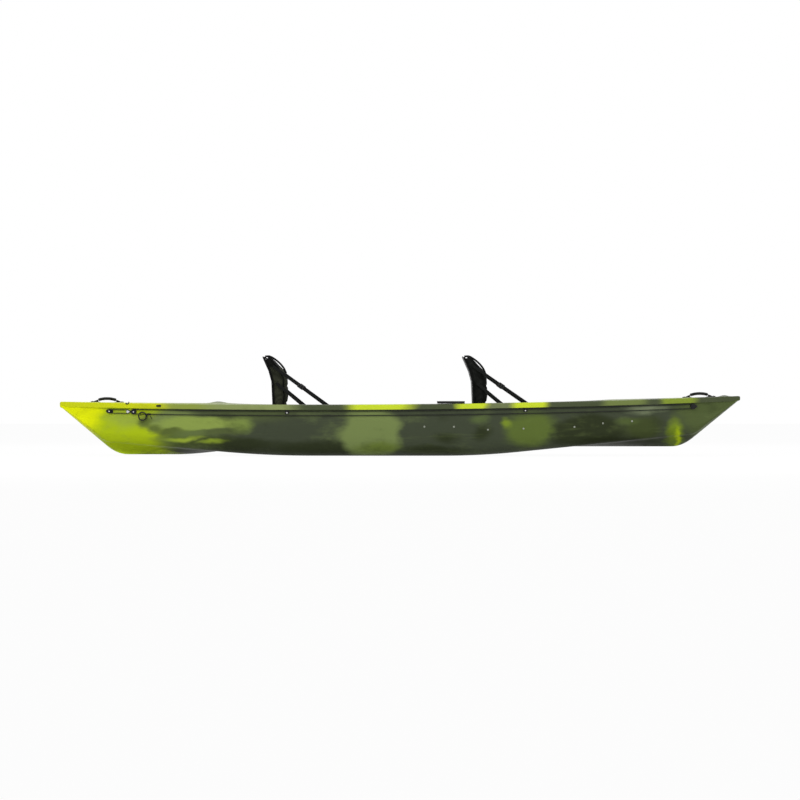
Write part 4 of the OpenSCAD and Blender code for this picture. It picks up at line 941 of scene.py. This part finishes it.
# Backrest pad, in u across it and v up it
PAD_SPAN = (0.074, 0.452)
PAD_HALF, PAD_DRAW, PAD_EDGE = 0.213, 0.008, 0.8
CORNER, CORNER_SHARE = 0.070, 0.75
PAD_GAP, COVER_GAP = 0.0006, 0.0005
PAD_COLUMNS, PAD_ROWS, PAD_BORDER = 27, 41, 40
PAD_CHANNELS, PAD_CHANNEL_Y = (0.150, 0.262), 0.105
# How far behind its front line the pad's front starts, and over which depth the channels fade in there
PAD_FRONT_DEPTH, PAD_FRONT_BAND = 0.030, 0.012
PAD_PIPING, PIPING_SINK, PIPING_BACK, PIPING_INSET = 0.0042, 0.001, 0.0055, 0.995


def pad_height(v):
    return PAD_SPAN[0] + (PAD_SPAN[1] - PAD_SPAN[0]) * v


def pad_rear(v):
    return along_line(pad_height(v), BACK_LINE) + SHELL_T + PAD_GAP


def pad_draw(v):
    """How far the sides of the pad are drawn in."""
    return PAD_DRAW * (1 - (2 * v - 1) ** 2)


def pad_y(u, v):
    t = max(0, (pad_height(v) - (PAD_SPAN[1] - CORNER)) / CORNER)
    inset = CORNER * CORNER_SHARE * (1 - math.sqrt(max(0, 1 - t * t)))
    return u * (PAD_HALF - inset - pad_draw(v) * abs(u))


def pad_front(u, v):
    rear = pad_rear(v)
    depth = along_line(pad_height(v), PAD_FRONT) - rear
    return rear + depth * (PAD_EDGE + (1 - PAD_EDGE) * crown(u, 2 * v - 1))


def pad_side(d):
    return PAD_HALF - pad_draw((d - PAD_SPAN[0]) / (PAD_SPAN[1] - PAD_SPAN[0]))


def seat_point(seat, x, y, d):
    return Vector((SEATS[seat] + x, y, HINGE_Z + d))


def sew_backrest(pad, seat):
    """Sews the channels into the front of the cover and keeps its rear clear of the shell."""
    points = vertex_values(pad, "co")
    d = points[:, 2] - HINGE_Z
    from_front = points[:, 0] - SEATS[seat] - along_line(d, PAD_FRONT)
    on_front = np.clip((from_front + PAD_FRONT_DEPTH) / PAD_FRONT_BAND, 0, 1)
    low, high = PAD_CHANNELS
    groove = channel(d - low) + channel(d - high)
    for y in (-PAD_CHANNEL_Y, PAD_CHANNEL_Y):
        groove += channel(points[:, 1] - y) * (d > low) * (d < high)
    points[:, 0] -= CHANNEL_DEPTH * np.minimum(groove, 1) * on_front
    rear = along_line(d, BACK_LINE) + SHELL_T + COVER_GAP
    points[:, 0] = np.maximum(points[:, 0], SEATS[seat] + rear)
    set_coords(pad, points)


def make_backrest_pad(seat):
    """Padded backrest cover with sewn channels."""
    us, vs = np.linspace(-1, 1, PAD_COLUMNS), np.linspace(0, 1, PAD_ROWS)
    front = [[seat_point(seat, pad_front(u, v), pad_y(u, v), pad_height(v)) for u in us] for v in vs]
    behind = [[seat_point(seat, pad_rear(v), pad_y(u, v), pad_height(v)) for u in us] for v in vs]
    verts, faces = closed_grid(front, behind)
    pad = obj_from(seat + "_backrest_cover", verts, faces, MATERIALS[seat + "_fabric"])
    clean(pad, MERGE_DISTANCE)
    swell(pad)
    sew_backrest(pad, seat)
    subdivide(pad)
    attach(pad, seat + "_backrest")
    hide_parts(seat + "_backrest_pad")


def make_backrest_piping(seat):
    """Bound edges of the backrest cover, in front and behind."""
    edge = border(0.0, PAD_BORDER)
    front = [seat_point(seat, pad_front(u, v) - PIPING_SINK, pad_y(u, v), pad_height(v)) for u, v in edge]
    behind = [seat_point(seat, pad_rear(v) + PIPING_BACK, pad_y(u, v) * PIPING_INSET, pad_height(v))
              for u, v in edge]
    verts, faces = merge([tube(loop, PAD_PIPING, closed=True) for loop in (front, behind)])
    piping = obj_from(seat + "_backrest_piping", verts, faces, MATERIALS["binding"], seat + "_backrest")


# Seat cushion, in u along it and v across it
CUSHION_BACK, CUSHION_LENGTH, CUSHION_HALF = 0.045, 0.345, 0.199
CUSHION_EDGE, CUSHION_CROWN, CUSHION_DRAW = 0.022, 0.016, 0.007
CUSHION_BASE = SEAT_TOP + PAD_GAP
CUSHION_STEPS = 27
CUSHION_CHANNEL_Y = 0.084
# How far over its base the cushion's top starts, and over which height the channels fade in there
CUSHION_TOP_FROM, CUSHION_TOP_BAND = 0.016, 0.008
CUSHION_PIPING, CUSHION_PIPING_DROP = 0.0035, 0.002


def cushion_point(seat, u, v, z):
    half = CUSHION_LENGTH / 2
    x = CUSHION_BACK + half + u * (half - CUSHION_DRAW * (1 - v * v) * abs(u))
    y = v * (CUSHION_HALF - CUSHION_DRAW * (1 - u * u) * abs(v))
    return Vector((SEATS[seat] + x, y, CUSHION_BASE + z))


def make_cushion(seat):
    """Padded cushion cover with two sewn channels."""
    steps = np.linspace(-1, 1, CUSHION_STEPS)
    top = [[cushion_point(seat, u, v, CUSHION_EDGE + CUSHION_CROWN * crown(u, v)) for u in steps]
           for v in steps]
    low = [[cushion_point(seat, u, v, 0) for u in steps] for v in steps]
    verts, faces = closed_grid(top, low)
    pad = obj_from(seat + "_cushion_cover", verts, faces, MATERIALS[seat + "_fabric"])
    clean(pad, MERGE_DISTANCE)
    swell(pad)
    points = vertex_values(pad, "co")
    on_top = np.clip((points[:, 2] - CUSHION_BASE - CUSHION_TOP_FROM) / CUSHION_TOP_BAND, 0, 1)
    groove = sum(channel(points[:, 1] - y) for y in (-CUSHION_CHANNEL_Y, CUSHION_CHANNEL_Y))
    points[:, 2] -= CHANNEL_DEPTH * np.minimum(groove, 1) * on_top
    points[:, 2] = np.maximum(points[:, 2], CUSHION_BASE)
    set_coords(pad, points)
    subdivide(pad)
    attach(pad, "hull")
    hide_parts(seat + "_seat_cushion")


def make_cushion_piping(seat):
    edge = border(-1.0, BORDER_STEPS)
    loop = [cushion_point(seat, u, v, CUSHION_EDGE - CUSHION_PIPING_DROP) for u, v in edge]
    verts, faces = tube(loop, CUSHION_PIPING, closed=True)
    piping = obj_from(seat + "_cushion_piping", verts, faces, MATERIALS["binding"], "hull")


# Webbing
STRAP_W, STRAP_T, STRAP_STEPS, STRAP_GAP = 0.020, 0.002, 60, 0.0003
# Section of the webbing: number of points, and how square its edges and faces are
WEB_POINTS, WEB_EDGE, WEB_FACE = 16, 0.3, 0.5
# Where each strap leaves the side of the backrest, from the hinge, and how far forward its anchor is
STRAP_STARTS = {"upper": (-0.022, 0.392), "lower": (0.0, 0.280)}
STRAP_RUNS = {"upper": 0.462, "lower": 0.365}
ANCHOR_BAR = 0.0093
UPPER_ANCHOR_DROP, LOWER_ANCHOR_Z = 0.062, 0.181
BUCKLE_BEVEL = 0.0007


def web_outline(width, thickness):
    """Section of flat webbing with rounded edges."""
    outline = []
    for a in spread(0, 2 * math.pi, WEB_POINTS):
        c, s = math.cos(a), math.sin(a)
        outline.append((width / 2 * math.copysign(abs(c) ** WEB_EDGE, c),
                        thickness / 2 * math.copysign(abs(s) ** WEB_FACE, s)))
    return outline


def ribbon(path, across, width, thickness, name):
    """Flat webbing along a line of points; across is the direction of its width. UVs are in metres."""
    outline = web_outline(width, thickness)
    n, last = len(outline), len(path) - 1
    verts, faces, lengths = [], [], []
    run = 0.0
    for k, p in enumerate(path):
        d = (path[min(k + 1, last)] - path[max(k - 1, 0)]).normalized()
        w = (across - d * across.dot(d)).normalized()
        t = d.cross(w)
        run += (p - path[k - 1]).length if k else 0.0
        lengths.append(run)
        verts += [p + w * u + t * v for u, v in outline]
    for a in range(0, last * n, n):
        b = a + n
        faces += [(a + i, a + (i + 1) % n, b + (i + 1) % n, b + i) for i in range(n)]
    faces += [tuple(reversed(range(n))), tuple(range(last * n, last * n + n))]
    obj = obj_from(name, verts, faces, MATERIALS["webbing"])
    layer = obj.data.uv_layers.new(name="along")
    for loop in obj.data.loops:
        k, i = divmod(loop.vertex_index, n)
        layer.data[loop.index].uv = (lengths[k], outline[i][0])
    clean(obj)
    return obj


def anchor_point(seat, kind):
    """Where the webbing is sewn to its anchor: along the hull, half breadth and height."""
    x = SEATS[seat] + STRAP_RUNS[kind]
    if kind == "upper":
        z = strip_top(x) - UPPER_ANCHOR_DROP
        return x, strip_half(x) - SIDE_SLOPE * UPPER_ANCHOR_DROP - WALL - ANCHOR_BAR, z
    low = CHINE_HALF * beam_share(x), lifted(x, chine(x), "chine")
    high = strip_foot(x), strip_low(x)
    y = low[0] + (high[0] - low[0]) * (LOWER_ANCHOR_Z - low[1]) / (high[1] - low[1])
    return x, y - WALL - ANCHOR_BAR, LOWER_ANCHOR_Z


def strap_ends(seat, kind, side):
    x, d = STRAP_STARTS[kind]
    y = pad_side(d) + STRAP_GAP + STRAP_T
    anchor = anchor_point(seat, kind)
    return seat_point(seat, x, side * y, d), Vector((anchor[0], side * anchor[1], anchor[2]))


def make_straps(seat):
    for kind in ("upper", "lower"):
        for side, word in ((-1, "starboard"), (1, "port")):
            p, q = strap_ends(seat, kind, side)
            path = [p.lerp(q, t) for t in np.linspace(0, 1, STRAP_STEPS)]
            across = Vector((0, 1, 0)).cross((q - p).normalized())
            strap = ribbon(path, across, STRAP_W, STRAP_T, f"{seat}_{kind}_strap_{word}")
            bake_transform(strap)
            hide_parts(f"{seat}_{kind}_straps")


def make_buckles(seat):
    """Ladder buckles on the upper straps, their edges eased."""
    source = NODES[seat + "_strap_buckles"].data
    buckles = bpy.data.objects.new(seat + "_buckles", source.copy())
    SCENE.collection.objects.link(buckles)
    buckles.data.materials.clear()
    buckles.data.materials.append(MATERIALS["black"])
    clean(buckles, MERGE_DISTANCE)
    mod = buckles.modifiers.new("bevel", "BEVEL")
    mod.width = BUCKLE_BEVEL
    mod.segments = 2
    mod.limit_method = "ANGLE"
    apply_modifiers(buckles)
    sharp_edges(buckles, SKIN_CREASE)
    p, q = strap_ends(seat, "upper", 1)
    p.y = q.y = 0.0
    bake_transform(buckles)
    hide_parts(seat + "_strap_buckles")


# Grab strap over the hollow at the top: its underside, from the hinge
TOP_STRAP = [(0.0546, 0.3425), (0.050, 0.355), (0.044, 0.368), (0.036, 0.382), (0.015, 0.407),
             (-0.017, 0.434), (-0.050, 0.4526), (-0.080, 0.4526)]
TOP_STRAP_W, TOP_STRAP_T, TOP_STRAP_GAP = 0.060, 0.013, 0.0004
PATH_STEPS = 8


def smooth_path(points):
    """Smooth line through points in a plane."""
    pts = [2 * points[0] - points[1]] + points + [2 * points[-1] - points[-2]]
    out = []
    for a, b, c, d in zip(pts, pts[1:], pts[2:], pts[3:]):
        for t in np.linspace(0, 1, PATH_STEPS, endpoint=False):
            bend = (2 * a - 5 * b + 4 * c - d) * t * t
            out.append(0.5 * (2 * b + (c - a) * t + bend + (3 * b - a - 3 * c + d) * t ** 3))
    return out + [points[-1]]


def make_top_strap(seat):
    line = [np.array(p, float) for p in TOP_STRAP]
    middle = []
    for k, p in enumerate(line):
        d = line[min(k + 1, len(line) - 1)] - line[max(k - 1, 0)]
        outward = np.array((d[1], -d[0])) / np.linalg.norm(d)
        middle.append(p + outward * (TOP_STRAP_T / 2 + TOP_STRAP_GAP))
    path = [seat_point(seat, x, 0, d) for x, d in smooth_path(middle)]
    strap = ribbon(path, Vector((0, 1, 0)), TOP_STRAP_W, TOP_STRAP_T, seat + "_grab_strap")
    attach(strap, seat + "_backrest")
    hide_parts(seat + "_backrest_top_strap")


for seat in SEATS:
    make_backrest_pad(seat)
    make_backrest_piping(seat)
    make_cushion(seat)
    make_cushion_piping(seat)
    make_straps(seat)
    make_buckles(seat)
    make_top_strap(seat)

# Carry handles: ribbed grips
HANDLES = {"stern": -1.967, "bow": 2.009}
ARCH_SPAN, ARCH_RISE, ARCH_T, ARCH_REACH = 0.180, 0.022, 0.005, 0.111
ARCH_R = (ARCH_SPAN ** 2 / 4 + ARCH_RISE ** 2) / (2 * ARCH_RISE)
HANDLE_GAP = 0.0003
GRIP_D, GRIP_L, GRIP_SIDES, GRIP_RINGS = 0.020, 0.120, 28, 121
GRIP_RIBS, RIB_DEPTH = 15, 0.0009
# The ends narrow over this share of the grip, from this share of the squared radius
GRIP_END, GRIP_END_SHARE = 0.03, 0.35


def make_grip(end):
    x = HANDLES[end]
    slope = (deck_z(x + ARCH_SPAN / 2, 0) - deck_z(x - ARCH_SPAN / 2, 0)) / ARCH_SPAN
    reach = np.linspace(-ARCH_REACH, ARCH_REACH, 5)
    base = max(deck_z(x + t, 0) - t * slope for t in reach) + HANDLE_GAP
    half = GRIP_L / 2 / ARCH_R
    turn = Matrix.Rotation(-math.atan(slope), 3, "Y")
    path, radii = [], []
    for t in np.linspace(0, 1, GRIP_RINGS):
        a = half * (2 * t - 1)
        height = ARCH_T / 2 + ARCH_RISE - ARCH_R * (1 - math.cos(a))
        path.append(Vector((x, 0, base)) + turn @ Vector((ARCH_R * math.sin(a), 0, height)))
        rib = 0.5 + 0.5 * math.cos(2 * math.pi * GRIP_RIBS * t)
        end_round = min(1, math.sqrt(min(t, 1 - t) / GRIP_END + GRIP_END_SHARE))
        radii.append((GRIP_D / 2 - RIB_DEPTH * (1 - rib) ** 2) * end_round)
    verts, faces = tube(path, lambda k: radii[k], sides=GRIP_SIDES)
    grip = obj_from(end + "_grip", verts, faces, MATERIALS["grip"])
    clean(grip)
    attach(grip, "hull")
    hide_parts(end + "_handle_grip")


for end in HANDLES:
    make_grip(end)

# Materials of the CAD pieces that show as they are
NODE_MATERIALS = {
    "bow_flotation_block": "foam", "stern_flotation_block": "foam",
    "bow_handle_strap": "rubber", "stern_handle_strap": "rubber",
    "trolley_upper_line": "line", "trolley_lower_line": "line", "trolley_line_turns": "line",
    "trolley_shock_cord": "line", "trolley_knot": "line",
    "side_rivets": "rivet", "trolley_screws": "trolley_screw", "trolley_bow_pin": "black",
}


def node_material(name):
    if name in NODE_MATERIALS:
        return MATERIALS[NODE_MATERIALS[name]]
    if any(word in name for word in ("screws", "pin", "shackle")):
        return MATERIALS["steel"]
    return MATERIALS["pedal" if "pedal" in name else "black"]


for name, node in NODES.items():
    if node.hide_render:
        continue
    node.data.materials.clear()
    node.data.materials.append(node_material(name))
    sharp_edges(node, CAD_CREASE)
